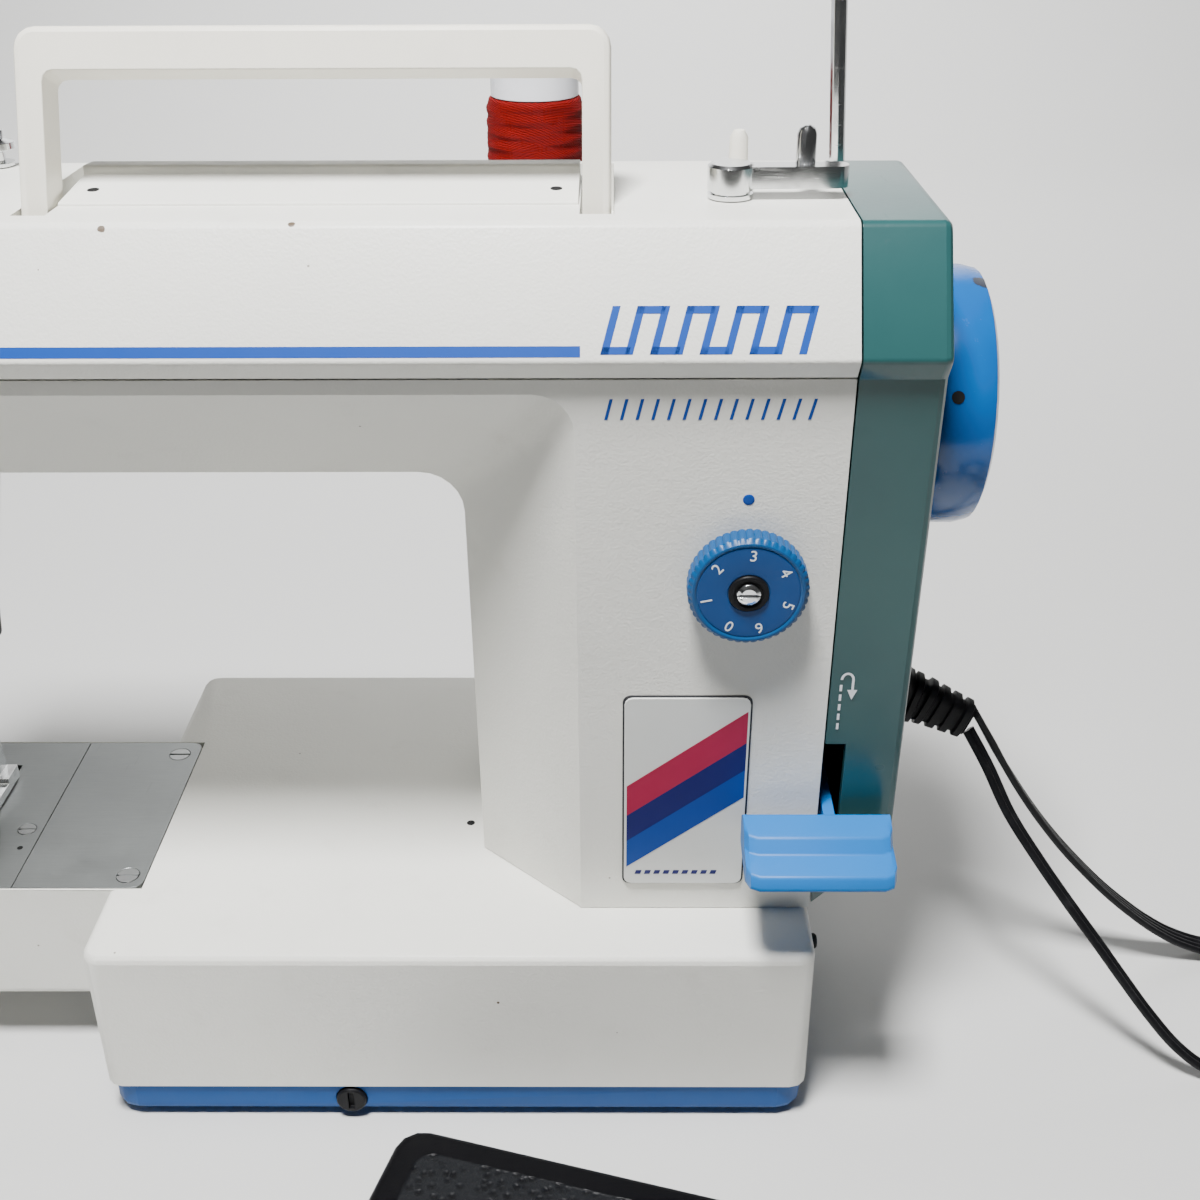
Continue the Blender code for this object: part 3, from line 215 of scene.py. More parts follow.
def whitePaint(name, chips=(), base=(0.77, 0.765, 0.715), grain=1.4):
    # semi-gloss enamel over a casting: fine even grain, slow changes of tone, a few specks and chips
    f = Finish(name, base, 0.42, coat=0.06)
    tone = f.noise(14.0, 3.0).ramp(0.3, 0.7)
    dirt = (f.noise(55.0, 4.0, 0.65).ramp(0.55, 0.85)) * 0.35
    colour = f.blend(tone, base, tuple(c * 0.955 for c in base))
    colour = f.blend(dirt, colour, (0.60, 0.585, 0.53))
    speck = 1 - f.cells(46.0).ramp(0.012, 0.022)
    colour = f.blend(speck * 0.75, colour, (0.12, 0.09, 0.06))
    wobble = f.noise(900.0, 2.0) * 0.0006
    for point, size in chips:
        far = f.away(point)
        chip = 1 - (far + wobble).ramp(size / 1000, size / 1000 * 1.2)
        colour = f.blend(chip, colour, (0.10, 0.07, 0.045))
    f.set("Base Color", colour)
    f.set("Roughness", 0.36 + f.noise(30.0, 2.0) * 0.14)
    height = f.noise(1150.0, 1.5, 0.45) + f.noise(420.0, 1.0) * 0.6
    f.bump(height, 0.00012 * grain, 0.55)
    return f.material


def glossPaint(name, base, dark, rough=0.16, chips=(), chipColour=(0.05, 0.05, 0.05)):
    # glossy enamel: faint orange peel under a clear coat, fine scratches in the gloss, chips where listed
    f = Finish(name, base, rough, coat=0.35)
    tone = f.noise(22.0, 3.0).ramp(0.35, 0.75)
    colour = f.blend(tone, base, dark)
    wobble = f.noise(700.0, 3.0) * 0.0018
    for point, size in chips:
        far = f.away(point)
        chip = 1 - (far + wobble).ramp(size / 1000, size / 1000 * 1.15)
        colour = f.blend(chip, colour, chipColour)
    f.set("Base Color", colour)
    scratch = f.noise(260.0, 4.0, 0.7, f.stretched((1.0, 0.06, 1.0))).ramp(0.62, 0.72)
    f.set("Roughness", rough + scratch * 0.12 + f.noise(40.0) * 0.06)
    f.bump(f.noise(520.0, 1.0, 0.3), 0.00005, 0.35)
    return f.material


def mouldedPlastic(name, base, rough=0.34, grain=650.0, depth=0.00004, dirt=0.12):
    # injection-moulded plastic: a faint grain, slightly uneven gloss and handling marks
    f = Finish(name, base, rough)
    dark = tuple(c * 0.80 for c in base)
    mark = f.noise(70.0, 4.0, 0.6).ramp(0.5, 0.85) * dirt
    f.set("Base Color", f.blend(mark + f.noise(18.0, 2.0) * 0.12, base, dark))
    f.set("Roughness", rough + f.noise(90.0, 3.0) * 0.14 - 0.05)
    f.bump(f.noise(grain, 2.0), depth, 0.6)
    return f.material


def chromePlate(name, base=(0.80, 0.81, 0.82), rough=0.16):
    # polished plating with hazy patches and hairline scratches
    f = Finish(name, base, rough, metal=1.0)
    haze = f.noise(120.0, 4.0, 0.6).ramp(0.45, 0.8)
    scratch = f.noise(500.0, 3.0, 0.7, f.stretched((0.08, 1.0, 1.0))).ramp(0.6, 0.68)
    f.set("Base Color", f.blend(haze * 0.5, base, tuple(c * 0.72 for c in base)))
    f.set("Roughness", rough + haze * 0.10 + scratch * 0.10)
    return f.material


def groundSteel(name, base=(0.33, 0.345, 0.345), rough=0.36, along=(0.03, 1.0, 1.0)):
    # ground steel: fine lines drawn along one direction, smears of oil and fine scratches
    f = Finish(name, base, rough, metal=1.0)
    lines = f.noise(2600.0, 3.0, 0.7, f.stretched(along))
    smear = f.noise(38.0, 4.0, 0.6).ramp(0.4, 0.75)
    scratch = f.noise(900.0, 2.0, 0.6, f.stretched((0.5, 0.03, 1.0))).ramp(0.66, 0.70)
    f.set("Base Color", f.blend(lines * 0.35 + smear * 0.25, base, tuple(c * 0.66 for c in base)))
    f.set("Roughness", rough + lines * 0.16 - smear * 0.08 + scratch * 0.1)
    f.bump(lines, 0.000012, 0.5)
    return f.material


def blackVinyl(name, rough=0.42, base=(0.006, 0.006, 0.007)):
    f = Finish(name, base, rough, specular=0.16)
    worn = f.noise(160.0, 4.0, 0.6).ramp(0.45, 0.8)
    f.set("Base Color", f.blend(worn * 0.6, base, (0.018, 0.018, 0.020)))
    f.set("Roughness", rough + worn * 0.15)
    f.bump(f.noise(1400.0, 2.0), 0.00003, 0.5)
    return f.material


def treadleGrain(name, middle, turned, half, height):
    # coarse pebbled grain on the treadle's top, inside a smooth rim with rounded corners
    f = Finish(name, (0.004, 0.004, 0.005), 0.42, specular=0.10)
    spot = f.node("ShaderNodeVectorMath", {"operation": "SUBTRACT"}, {0: f.place, 1: tuple(place(middle))})
    turn = {"Vector": spot, "Rotation": (0.0, 0.0, math.radians(-turned))}
    level = f.node("ShaderNodeMapping", {}, turn)
    parts = [f.node("ShaderNodeSeparateXYZ", {}, {"Vector": level}, axis) for axis in range(3)]
    # distance outside a box drawn 6 mm inside the inset: sqrt(max(|x| - a, 0) ^ 2 + max(|y| - b, 0) ^ 2)
    over = [(parts[k].math("ABSOLUTE") - (half[k] - 6.0) / 1000).math("MAXIMUM", 0.0) for k in range(2)]
    outside = (over[0] * over[0] + over[1] * over[1]) ** 0.5
    mask = (1 - outside.ramp(0.0052, 0.0066)) * parts[2].ramp(height - 0.0012, height - 0.0006)
    pebble = f.cells(330.0, out="Distance").ramp(0.08, 0.62)
    pebble = pebble * 0.7 + f.noise(620.0, 2.0) * 0.5
    f.set("Base Color", f.blend(mask * pebble * 0.8, (0.002, 0.002, 0.003), (0.012, 0.013, 0.015)))
    f.set("Roughness", 0.30 + mask * 0.10 + f.noise(60.0) * 0.06)
    f.bump(mask * pebble - mask * 1.4 + f.noise(1300.0, 2.0) * 0.04, 0.0009, 0.9)
    return f.material


def woundThread(name):
    # thread laid in steep crossing helices: two sets of fine diagonal ridges and loose fibres
    f = Finish(name, (0.40, 0.002, 0.002), 0.70, specular=0.1)
    mapped = f.node("ShaderNodeUVMap", {"uv_map": "wrap"}, {})
    ridges = []
    for tilt in (0.16, -0.22):
        turned = f.node("ShaderNodeMapping", {}, {"Vector": mapped, "Rotation": (0.0, 0.0, tilt)})
        values = {"Vector": turned, "Scale": 0.62, "Distortion": 1.6, "Detail": 2.0, "Detail Scale": 1.5}
        ridges.append(f.node("ShaderNodeTexWave", {"bands_direction": "Y"}, values, "Fac"))
    patch = f.noise(95.0, 3.0).ramp(0.42, 0.58)
    height = ridges[0] * patch + ridges[1] * (1 - patch)
    # painted shade: the red is darker down in the grooves between ridges and lighter on the ridge tops,
    # following the bump height
    shade = f.blend(height, (0.07, 0.001, 0.001), (0.24, 0.001, 0.001))
    f.set("Base Color", shade)
    f.shader.inputs["Sheen Weight"].default_value = 0.08
    f.shader.inputs["Sheen Tint"].default_value = (1.0, 0.25, 0.25, 1.0)
    f.bump(height + f.noise(2400.0, 2.0) * 0.25, 0.0004, 0.9)
    return f.material


def plainInk(name, base, rough=0.38):
    # printed ink, a little uneven
    f = Finish(name, base, rough)
    f.set("Base Color", f.blend(f.noise(300.0, 3.0) * 0.25, base, tuple(c * 0.75 for c in base)))
    f.set("Roughness", rough + f.noise(150.0) * 0.08)
    return f.material


finishes = {
    "bodyWhite": whitePaint("bodyWhite"),
    "coverWhite": whitePaint(
        "coverWhite",
        [((-132.5, -62.7, 301.7), 1.2), ((-81.8, -61.8, 302.8), 1.2), ((-149.3, -67.9, 292.1), 0.5)],
    ),
    "bedWhite": whitePaint("bedWhite", [((-34.0, -89.0, 53.1), 0.7), ((5.2, -89.0, 39.9), 0.45)]),
    "ivory": mouldedPlastic("ivory", (0.80, 0.77, 0.68), 0.36, 800.0, 0.00005, 0.25),
    "teal": glossPaint("teal", (0.020, 0.076, 0.076), (0.015, 0.062, 0.066), 0.26),
    "wheelBlue": glossPaint(
        "wheelBlue", (0.001, 0.095, 0.340), (0.001, 0.070, 0.270), 0.18,
        [((114.5, -21.0, 275.0), 3.6)], (0.03, 0.035, 0.05),
    ),
    "trayBlue": mouldedPlastic("trayBlue", (0.001, 0.070, 0.270), 0.50, 500.0, 0.00003),
    "paleBlue": mouldedPlastic("paleBlue", (0.002, 0.150, 0.480), 0.42, 420.0, 0.00002, 0.06),
    "dialFace": mouldedPlastic("dialFace", (0.001, 0.048, 0.190), 0.33, 600.0, 0.00002, 0.1),
    "dialRim": mouldedPlastic("dialRim", (0.004, 0.062, 0.190), 0.36, 600.0, 0.00002, 0.1),
    "badgeGrey": mouldedPlastic("badgeGrey", (0.66, 0.67, 0.65), 0.22, 900.0, 0.00001, 0.05),
    "chrome": chromePlate("chrome"),
    "darkChrome": chromePlate("darkChrome", (0.42, 0.43, 0.45), 0.12),
    "plateSteel": groundSteel("plateSteel"),
    "screwSteel": groundSteel("screwSteel", (0.46, 0.47, 0.47), 0.30, (1.0, 1.0, 0.2)),
    "shaftSteel": groundSteel("shaftSteel", (0.45, 0.45, 0.45), 0.28, (0.05, 1.0, 1.0)),
    "bronze": groundSteel("bronze", (0.50, 0.34, 0.16), 0.4),
    "black": blackVinyl("black"),
    "rubber": blackVinyl("rubber", 0.75, (0.02, 0.02, 0.02)),
    "cable": blackVinyl("cable", 0.38),
    "treadle": treadleGrain("treadle", (8.6, -193.4, 0.0), -15.8, (81.0, 46.0), 0.0270),
    "thread": woundThread("thread"),
    "spoolWhite": mouldedPlastic("spoolWhite", (0.78, 0.79, 0.84), 0.25, 700.0, 0.00002, 0.05),
    "inkBlue": plainInk("inkBlue", (0.001, 0.052, 0.300)),
    "inkCrimson": plainInk("inkCrimson", (0.340, 0.012, 0.055)),
    "inkNavy": plainInk("inkNavy", (0.006, 0.008, 0.110)),
    "inkSea": plainInk("inkSea", (0.001, 0.045, 0.270)),
    "inkWhite": plainInk("inkWhite", (0.75, 0.78, 0.80)),
    # painted shadow: the dark sheet under the badge, made with the ink finish
    "shadowDark": plainInk("shadowDark", (0.03, 0.03, 0.035)),
    # painted shade: the black of the dark cups that stand for holes
    "holeShadeBlack": plainInk("holeShadeBlack", (0.006, 0.006, 0.006), 0.8),
}
print("finishes made:", len(finishes))

# ---- mesh tools


def addObject(name, mesh, finish, sharpAngle=32.0):
    mesh.shade_smooth()
    mesh.set_sharp_from_angle(angle=math.radians(sharpAngle))
    mesh.materials.clear()
    mesh.materials.append(finishes[finish])
    piece = bpy.data.objects.new(name, mesh)
    bpy.context.scene.collection.objects.link(piece)
    return piece


def meshOf(name, points, faces):
    mesh = bpy.data.meshes.new(name)
    mesh.from_pydata([tuple(p) for p in points], [], [tuple(f) for f in faces])
    mesh.validate()
    return mesh


def outward(mesh):
    # turns a closed mesh's faces out, after its doubles are merged
    bm = bmesh.new()
    bm.from_mesh(mesh)
    bmesh.ops.remove_doubles(bm, verts=bm.verts, dist=2e-6)
    bmesh.ops.recalc_face_normals(bm, faces=bm.faces)
    bm.to_mesh(mesh)
    bm.free()
    return mesh


def gridFaces(rows, columns, closeColumns=True):
    # quads between neighbouring points of a grid, numbered row by row
    across = columns if closeColumns else columns - 1
    r, c = np.meshgrid(np.arange(rows - 1), np.arange(across), indexing="ij")
    n = (c + 1) % columns
    near, far = r * columns, (r + 1) * columns
    return np.stack([near + c, near + n, far + n, far + c], -1).reshape(-1, 4)


def capped(grid):
    # a tube-shaped grid closed at both ends with a point at each end ring's middle
    rows, columns = grid.shape[:2]
    points = np.concatenate([grid.reshape(-1, 3), grid[0].mean(0)[None], grid[-1].mean(0)[None]])
    faces = [tuple(f) for f in gridFaces(rows, columns)]
    c = np.arange(columns)
    n = (c + 1) % columns
    first, last = rows * columns, rows * columns + 1
    faces += [(int(b), int(a), first) for a, b in zip(c, n)]
    base = (rows - 1) * columns
    faces += [(int(base + a), int(base + b), last) for a, b in zip(c, n)]
    return points, faces


def rounded(profile, radius, steps=3):
    # a profile (along, out) whose inner corners are cut with short arcs: quadratic blends of the two legs
    profile = np.asarray(profile, float)
    here, before, after = profile[1:-1], profile[:-2], profile[2:]
    legs = [np.linalg.norm(before - here, axis=1), np.linalg.norm(after - here, axis=1)]
    reach = np.minimum(radius, 0.45 * np.minimum(*legs))[:, None]
    start = here + (before - here) / np.maximum(legs[0], 1e-9)[:, None] * reach
    end = here + (after - here) / np.maximum(legs[1], 1e-9)[:, None] * reach
    t = np.linspace(0, 1, steps + 1)[None, :, None]
    arcs = (1 - t) ** 2 * start[:, None] + 2 * t * (1 - t) * here[:, None] + t**2 * end[:, None]
    return np.concatenate([profile[:1], arcs.reshape(-1, 2), profile[-1:]])


def axisFrame(axis):
    # two unit vectors across an axis
    axis = np.asarray(axis, float) / np.linalg.norm(axis)
    helper = np.array([0.0, 0.0, 1.0]) if abs(axis[2]) < 0.9 else np.array([1.0, 0.0, 0.0])
    across = np.cross(helper, axis)
    across /= np.linalg.norm(across)
    return axis, across, np.cross(axis, across)


def lathe(name, profile, centre, axis, finish, steps=64, swell=None, corner=0.35, sharpAngle=32.0):
    # point(s, a) = centre + along(s) * axis + out(s) * swell(s, a) * (cos a * u + sin a * v), in millimetres
    profile = rounded(profile, corner) if corner else np.asarray(profile, float)
    axis, u, v = axisFrame(axis)
    angle = np.linspace(0, math.tau, steps, endpoint=False)
    out = profile[:, 1][:, None] * np.ones(steps)
    if swell is not None:
        out = out * swell(profile[:, 0][:, None], profile[:, 1][:, None], angle[None, :])
    ring = np.cos(angle)[:, None] * u + np.sin(angle)[:, None] * v
    grid = np.asarray(centre, float) + profile[:, 0][:, None, None] * axis + out[..., None] * ring[None]
    points, faces = capped(grid)
    return addObject(name, outward(meshOf(name, place(points), faces)), finish, sharpAngle)


def slab(name, outline, corner, u, v, thick, finish, lift=0.0):
    # a flat plate: outline (a, b) carried to corner + a u + b v, between two heights along the normal u x v
    outline = np.asarray(outline, float)
    u, v = np.asarray(u, float), np.asarray(v, float)
    normal = np.cross(u, v)
    normal /= np.linalg.norm(normal)
    flat = np.asarray(corner, float) + outline[:, :1] * u + outline[:, 1:] * v
    grid = np.stack([flat + normal * lift, flat + normal * (lift + thick)])
    count = len(outline)
    faces = [tuple(f) for f in gridFaces(2, count)]
    faces += [tuple(range(count))[::-1], tuple(range(count, 2 * count))]
    return addObject(name, outward(meshOf(name, place(grid.reshape(-1, 3)), faces)), finish)


def dressed(node, finish, bevel=0.35, segments=2, sharpAngle=30.0, weld=4e-6, dissolve=0.6):
    # a merged copy of a CAD node with its flat faces rejoined and its edges eased, standing for the node
    mesh = nodes[node].data.copy()
    bm = bmesh.new()
    bm.from_mesh(mesh)
    bmesh.ops.remove_doubles(bm, verts=bm.verts, dist=weld)
    bmesh.ops.dissolve_degenerate(bm, dist=1e-6, edges=bm.edges)
    bmesh.ops.dissolve_limit(bm, angle_limit=math.radians(dissolve), verts=bm.verts, edges=bm.edges)
    bm.to_mesh(mesh)
    bm.free()
    piece = addObject(node + "Skin", mesh, finish, sharpAngle)
    if bevel:
        ease = piece.modifiers.new("ease", "BEVEL")
        ease.width = bevel / 1000
        ease.segments = segments
        ease.limit_method = "ANGLE"
        ease.angle_limit = math.radians(sharpAngle)
        ease.use_clamp_overlap = True
        ease.harden_normals = True
    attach(piece, nodeBody[node])
    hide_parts(node)
    return piece


def ridesOn(piece, body):
    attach(piece, body)
    return piece


# ---- cords: flat leads swept along their routes

cordSetup = {
    "mains": {"wide": 5.4, "lobes": 2, "coil": (262.0, -111.5), "inner": 24.4, "outer": 35.6, "turns": 8.0},
    "pedal": {"wide": 10.0, "lobes": 4, "coil": (238.0, -240.0), "inner": 41.5, "outer": 66.9, "turns": 2.5},
}
mainsRoute = [
    (129.6, -15.2, 112.0), (136.5, -21.5, 100.5), (144.3, -29.0, 85.5), (155.0, -36.5, 70.4),
    (165.5, -43.6, 57.0), (176.0, -50.6, 44.2), (186.4, -57.3, 31.2), (194.0, -61.6, 22.0),
    (203.0, -66.3, 12.6), (213.0, -69.8, 5.6), (224.0, -72.0, 2.8), (238.0, -73.4, 2.2),
]
pedalRoute = [
    (131.4, -12.8, 118.6), (137.0, -12.3, 109.0), (145.9, -11.3, 93.5), (157.4, -10.5, 75.8),
    (168.9, -9.7, 60.3), (180.3, -9.0, 47.0), (191.8, -8.2, 34.8), (203.3, -7.4, 24.2),
    (213.0, -6.8, 16.4), (224.1, -6.2, 9.4), (238.0, -6.0, 4.2), (254.0, -7.0, 2.5),
    (274.0, -10.0, 2.4), (302.0, -27.0, 2.4), (321.0, -62.0, 2.4), (326.0, -105.0, 2.4),
    (322.0, -150.0, 2.4), (314.0, -198.0, 2.4),
]
pedalEndRoute = [
    (197.0, -225.0, 6.0), (189.0, -209.0, 6.2), (172.0, -199.0, 6.0), (154.0, -203.0, 3.0),
    (138.0, -215.0, 2.2), (122.0, -225.2, 3.4), (111.1, -222.4, 5.0),
]


def smoothRoute(points, spacing):
    # Catmull-Rom: each span is a cubic through its ends, with slopes from the neighbours; then evenly spaced
    p = np.asarray(points, float)
    p = np.concatenate([2 * p[:1] - p[1:2], p, 2 * p[-1:] - p[-2:-1]])
    a, b, c, d = p[:-3, None], p[1:-2, None], p[2:-1, None], p[3:, None]
    t = np.linspace(0, 1, 40, endpoint=False)[None, :, None]
    fine = 0.5 * (2 * b + (c - a) * t + (2 * a - 5 * b + 4 * c - d) * t**2 + (3 * b - a - 3 * c + d) * t**3)
    fine = np.concatenate([fine.reshape(-1, 3), p[-2:-1]])
    walked = np.concatenate([[0], np.cumsum(np.linalg.norm(np.diff(fine, axis=0), axis=1))])
    even = np.linspace(0, walked[-1], int(walked[-1] / spacing) + 1)
    return np.stack([np.interp(even, walked, fine[:, k]) for k in range(3)], 1)


def lobedSection(wide, lobes, steps=14):
    # half thickness over the width is the height of a row of touching circles, kept above a thin web
    radius = wide / (2 * lobes)
    x = np.linspace(-wide / 2, wide / 2, steps * lobes + 1)
    middle = (np.clip(np.floor((x + wide / 2) / (2 * radius)), 0, lobes - 1) + 0.5) * 2 * radius - wide / 2
    half = np.sqrt(np.maximum(radius**2 - (x - middle) ** 2, 0))
    web = np.where(np.abs(x) < wide / 2 - radius, 0.55 * radius, 0.0)
    half = np.maximum(half, web)
    top = np.stack([x, half], 1)
    return np.concatenate([top, top[-2:0:-1] * [1, -1]])


def flatLead(name, route, section, finish):
    # point(s, k) = route(s) + section side(k) * level sideways + section height(k) * their normal
    ahead = np.gradient(route, axis=0)
    ahead /= np.linalg.norm(ahead, axis=1)[:, None]
    side = np.cross(ahead, [0.0, 0.0, 1.0])
    side /= np.linalg.norm(side, axis=1)[:, None]
    up = np.cross(side, ahead)
    grid = route[:, None] + section[None, :, :1] * side[:, None] + section[None, :, 1:] * up[:, None]
    points, faces = capped(grid)
    return addObject(name, outward(meshOf(name, place(points), faces)), finish, 40.0)


def coilRoute(setup, start, rise, base, spacing, layered):
    # clockwise turns whose radius goes in and out between two limits, a cord's width each turn;
    # with layers, each change of direction also climbs by rise
    turns = setup["turns"]
    t = np.linspace(0, turns, int(turns * 2 * math.pi * setup["outer"] / spacing))
    share = t / 2 % 2
    inward = np.where(share < 1, share, 2 - share) if layered else t / turns
    radius = setup["outer"] - (setup["outer"] - setup["inner"]) * inward
    layer = np.floor(t / 2)
    into = np.clip((t / 2 - layer) * 8, 0, 1)
    height = np.where(layer > 0, layer - 1 + into * into * (3 - 2 * into), 0.0) * rise if layered else 0 * t
    angle = math.radians(start) - t * math.tau
    x, y = setup["coil"]
    return np.stack([x + radius * np.cos(angle), y + radius * np.sin(angle), base + height], 1)


def makeMains(setup):
    wound = coilRoute(setup, 90.0, 3.1, 1.7, 4.0, True)
    tail = [(257.0, -147.5, 9.5), (250.0, -151.5, 8.2), (244.6, -153.0, 7.0)]
    x, y = setup["coil"]
    half = np.radians(90.0 - np.linspace(12, 150, 10))
    reach = np.linspace(35.8, 37.4, 10)
    swing = np.stack([x + reach * np.cos(half), y + reach * np.sin(half), np.full(10, 11.0)], 1)
    points = np.concatenate([mainsRoute, [(251.0, -75.0, 1.9)], wound[::6][1:], swing, tail])
    route = smoothRoute(points, 2.2)
    lead = flatLead("mainsLead", route, lobedSection(setup["wide"], setup["lobes"]), "cable")
    return lead, route


def makePedalLead(setup):
    wound = coilRoute(setup, 0.0, 0.0, 2.0, 4.0, False)
    points = np.concatenate([pedalRoute, wound[2::6], pedalEndRoute])
    route = smoothRoute(points, 2.6)
    lead = flatLead("pedalLead", route, lobedSection(setup["wide"], setup["lobes"], 10), "cable")
    return lead, route


def lengthOf(route):
    return float(np.linalg.norm(np.diff(route, axis=0), axis=1).sum()) / 1000


def tieBand(name, centre, ahead, wide, tall):
    # a thin twist-tie ring round the turns at one place: an oval band, wide across the coil and tall upwards
    angle = np.linspace(0, math.tau, 28, endpoint=False)
    ahead = np.asarray(ahead, float)
    side = np.cross(ahead, [0.0, 0.0, 1.0])
    power = 0.5
    x = wide / 2 * np.sign(np.cos(angle)) * np.abs(np.cos(angle)) ** power
    z = tall / 2 * np.sign(np.sin(angle)) * np.abs(np.sin(angle)) ** power
    rings = []
    for along, grow in ((-2.0, 0.0), (-2.0, 0.7), (2.0, 0.7), (2.0, 0.0)):
        scale = 1 + 2 * grow / min(wide, tall)
        sideways, upwards = (x * scale)[:, None] * side, (z * scale)[:, None] * [0, 0, 1]
        rings.append(np.asarray(centre) + along * ahead + sideways + upwards)
    grid = np.stack([*rings, rings[0]])
    return addObject(name, outward(meshOf(name, place(grid.reshape(-1, 3)), gridFaces(5, 28))), "black")


def mainsPlug():
    # a two-blade plug: a body that narrows to its cord end, with grip grooves, and two flat blades
    x = np.array([215.2, 216.2, 219.0, 226.0, 228.0, 229.0, 231.0, 232.0, 234.0, 235.0, 237.0, 240.0, 244.0])
    groove = np.array([0, 0, 0, 0, 0, 1, 1, 0, 0, 1, 1, 0, 0]) * 0.5
    halfWide = np.array([5.4, 6.4, 6.9, 6.9, 6.8, 6.7, 6.5, 6.3, 6.0, 5.8, 5.4, 4.6, 3.8]) - groove
    halfTall = np.array([4.8, 5.8, 6.3, 6.3, 6.2, 6.0, 5.8, 5.5, 5.2, 5.0, 4.4, 3.4, 2.4]) - groove
    angle = np.linspace(0, math.tau, 40, endpoint=False)
    y = np.sign(np.cos(angle)) * np.abs(np.cos(angle)) ** 0.45
    z = np.sign(np.sin(angle)) * np.abs(np.sin(angle)) ** 0.45
    middleY, middleZ, bladeSpread = -153.0, 6.9, 5.461
    rows = [x[:, None] + 0 * y, middleY + halfWide[:, None] * y, middleZ + halfTall[:, None] * z]
    grid = np.stack(rows, -1)
    points, faces = capped(grid)
    body = addObject("mainsPlug", outward(meshOf("mainsPlug", place(points), faces)), "black", 40.0)
    blades = []
    outline = [(198.6, 3.9), (215.5, 3.9), (215.5, 9.7), (198.6, 9.7), (198.1, 9.0), (198.1, 4.6)]
    for number, offset in enumerate((-bladeSpread, bladeSpread)):
        spot = (0, middleY + offset - 0.7, 0)
        blades.append(slab(f"plugBlade{number}", outline, spot, (1, 0, 0), (0, 0, 1), 1.4, "chrome", -1.4))
    return body, blades


def dressCords():
    mains, mainsPath = makeMains(cordSetup["mains"])
    pedal, pedalPath = makePedalLead(cordSetup["pedal"])
    plug, blades = mainsPlug()
    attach(mains, "machine")
    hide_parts("mains_lead", "mains_coil")
    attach(pedal, "machine")
    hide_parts("pedal_lead", "pedal_lead_coil", "pedal_lead_end")
    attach(plug, "machine")
    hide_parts("mains_plug")
    for blade in blades:
        ridesOn(blade, "machine")
    mainsTie = tieBand("mainsTie", (292.0, -111.5, 6.5), (0, 1, 0), 18.5, 14.0)
    ridesOn(mainsTie, "machine")
    pedalTie = tieBand("pedalTie", (238.0, -294.2, 2.0), (1, 0, 0), 37.0, 4.6)
    ridesOn(pedalTie, "machine")
    print("cords:", round(lengthOf(mainsPath), 3), "m mains,", round(lengthOf(pedalPath), 3), "m pedal")


dressCords()

# ---- the castings and covers


def faceY(z):
    # the leaning front of the pillar and arm, measured off the casting's box
    return -63.9 - (z - 72.3) * 0.0594


def dressShells():
    dressed("bed_casting", "bedWhite", 0.5)
    dressed("arm_casting", "bodyWhite", 0.8, 3)
    dressed("top_cover", "coverWhite", 0.7, 3)
    dressed("face_cover", "bodyWhite", 0.8)
    dressed("hook_door", "bodyWhite", 0.4)
    dressed("end_cover", "teal", 0.8, 3)
    dressed("base_tray", "trayBlue", 0.4)
    dressed("tray_plug", "black", 0.25)
    for number in range(1, 5):
        dressed(f"foot_{number}", "rubber", 0.3)


dressShells()
print("shells dressed")


def dressMetal():
    dressed("slide_plate", "plateSteel", 0.15)
    dressed("needle_plate", "plateSteel", 0.15)
    for node in ("plate_screw_rear", "plate_screw_front", "needle_plate_screw"):
        dressed(node, "screwSteel", 0.12)
    for node in ("take_up_lever", "presser_foot", "thread_rod", "thread_guide", "winder_lever"):
        dressed(node, "chrome", 0.3, 3)
    for node in ("needle_bar", "needle", "presser_bar", "pretension_post", "dial_screw"):
        dressed(node, "chrome", 0.12)
    turning = ("main_shaft", "crank_disc", "upper_pulley", "lower_shaft", "lower_pulley", "motor_pulley")
    for node in ("feed_dog", *turning):
        dressed(node, "shaftSteel", 0.1)
    for node in ("hook", "motor"):
        dressed(node, "darkChrome", 0.2)
    dressed("spool_bracket", "shaftSteel", 0.3)
    for node in ("main_bush_right", "main_bush_left"):
        dressed(node, "bronze", 0.15)
    for node in ("timing_belt", "drive_belt"):
        dressed(node, "rubber", 0.2)


dressMetal()
print("metal dressed")


def dressPlastics():
    dressed("carry_handle", "ivory", 0.5, 3)
    dressed("winder_spindle", "ivory", 0.2)
    dressed("reverse_lever", "paleBlue", 0.6, 3)
    dressed("badge_plate", "badgeGrey", 0.15)
    dressed("lifter_lever", "black", 0.5)
    dressed("tension_knob", "trayBlue", 0.3)
    dressed("pedal_base", "black", 0.4)
    dressed("pedal_plate", "treadle", 0.4)
    dressed("hand_wheel", "wheelBlue", 0.3)
    dressed("spool", "spoolWhite", 0.3)


dressPlastics()
print("plastics dressed")

# ---- printing and small fittings


def stroked(points, width):
    # the outline of a line drawn with a pen of this width: the points moved half a width to each side
    p = np.asarray(points, float)
    along = np.gradient(p, axis=0)
    along /= np.linalg.norm(along, axis=1)[:, None]
    side = np.stack([-along[:, 1], along[:, 0]], 1) * width / 2
    return np.concatenate([p - side, (p + side)[::-1]])


def slanted(left, low, wide, tall, lean):
    return [(left, low), (left + wide, low), (left + wide + lean, low + tall), (left + lean, low + tall)]


coverUp = np.array([0.0, 18.0, 33.0]) / math.hypot(18.0, 33.0)
pillarUp = np.array([0.0, -0.0594, 1.0]) / math.hypot(0.0594, 1.0)
printSetup = {
    "stripe": {"from": -267.0, "to": -4.8, "low": 1.5, "tall": 3.0},
    "meander": {"left": 0.5, "low": 2.2, "tall": 13.0, "pitch": 6.6, "count": 9, "wide": 2.1, "lean": 3.4},
    "ticks": {"left": 1.5, "low": 251.8, "tall": 6.2, "pitch": 4.3, "count": 14, "wide": 0.9, "lean": 1.5},
}


def onCover(name, outline, finish):
    piece = slab(name, outline, (0.0, -80.0, 270.0), (1, 0, 0), coverUp, 0.07, finish, 0.03)
    return ridesOn(piece, "machine")


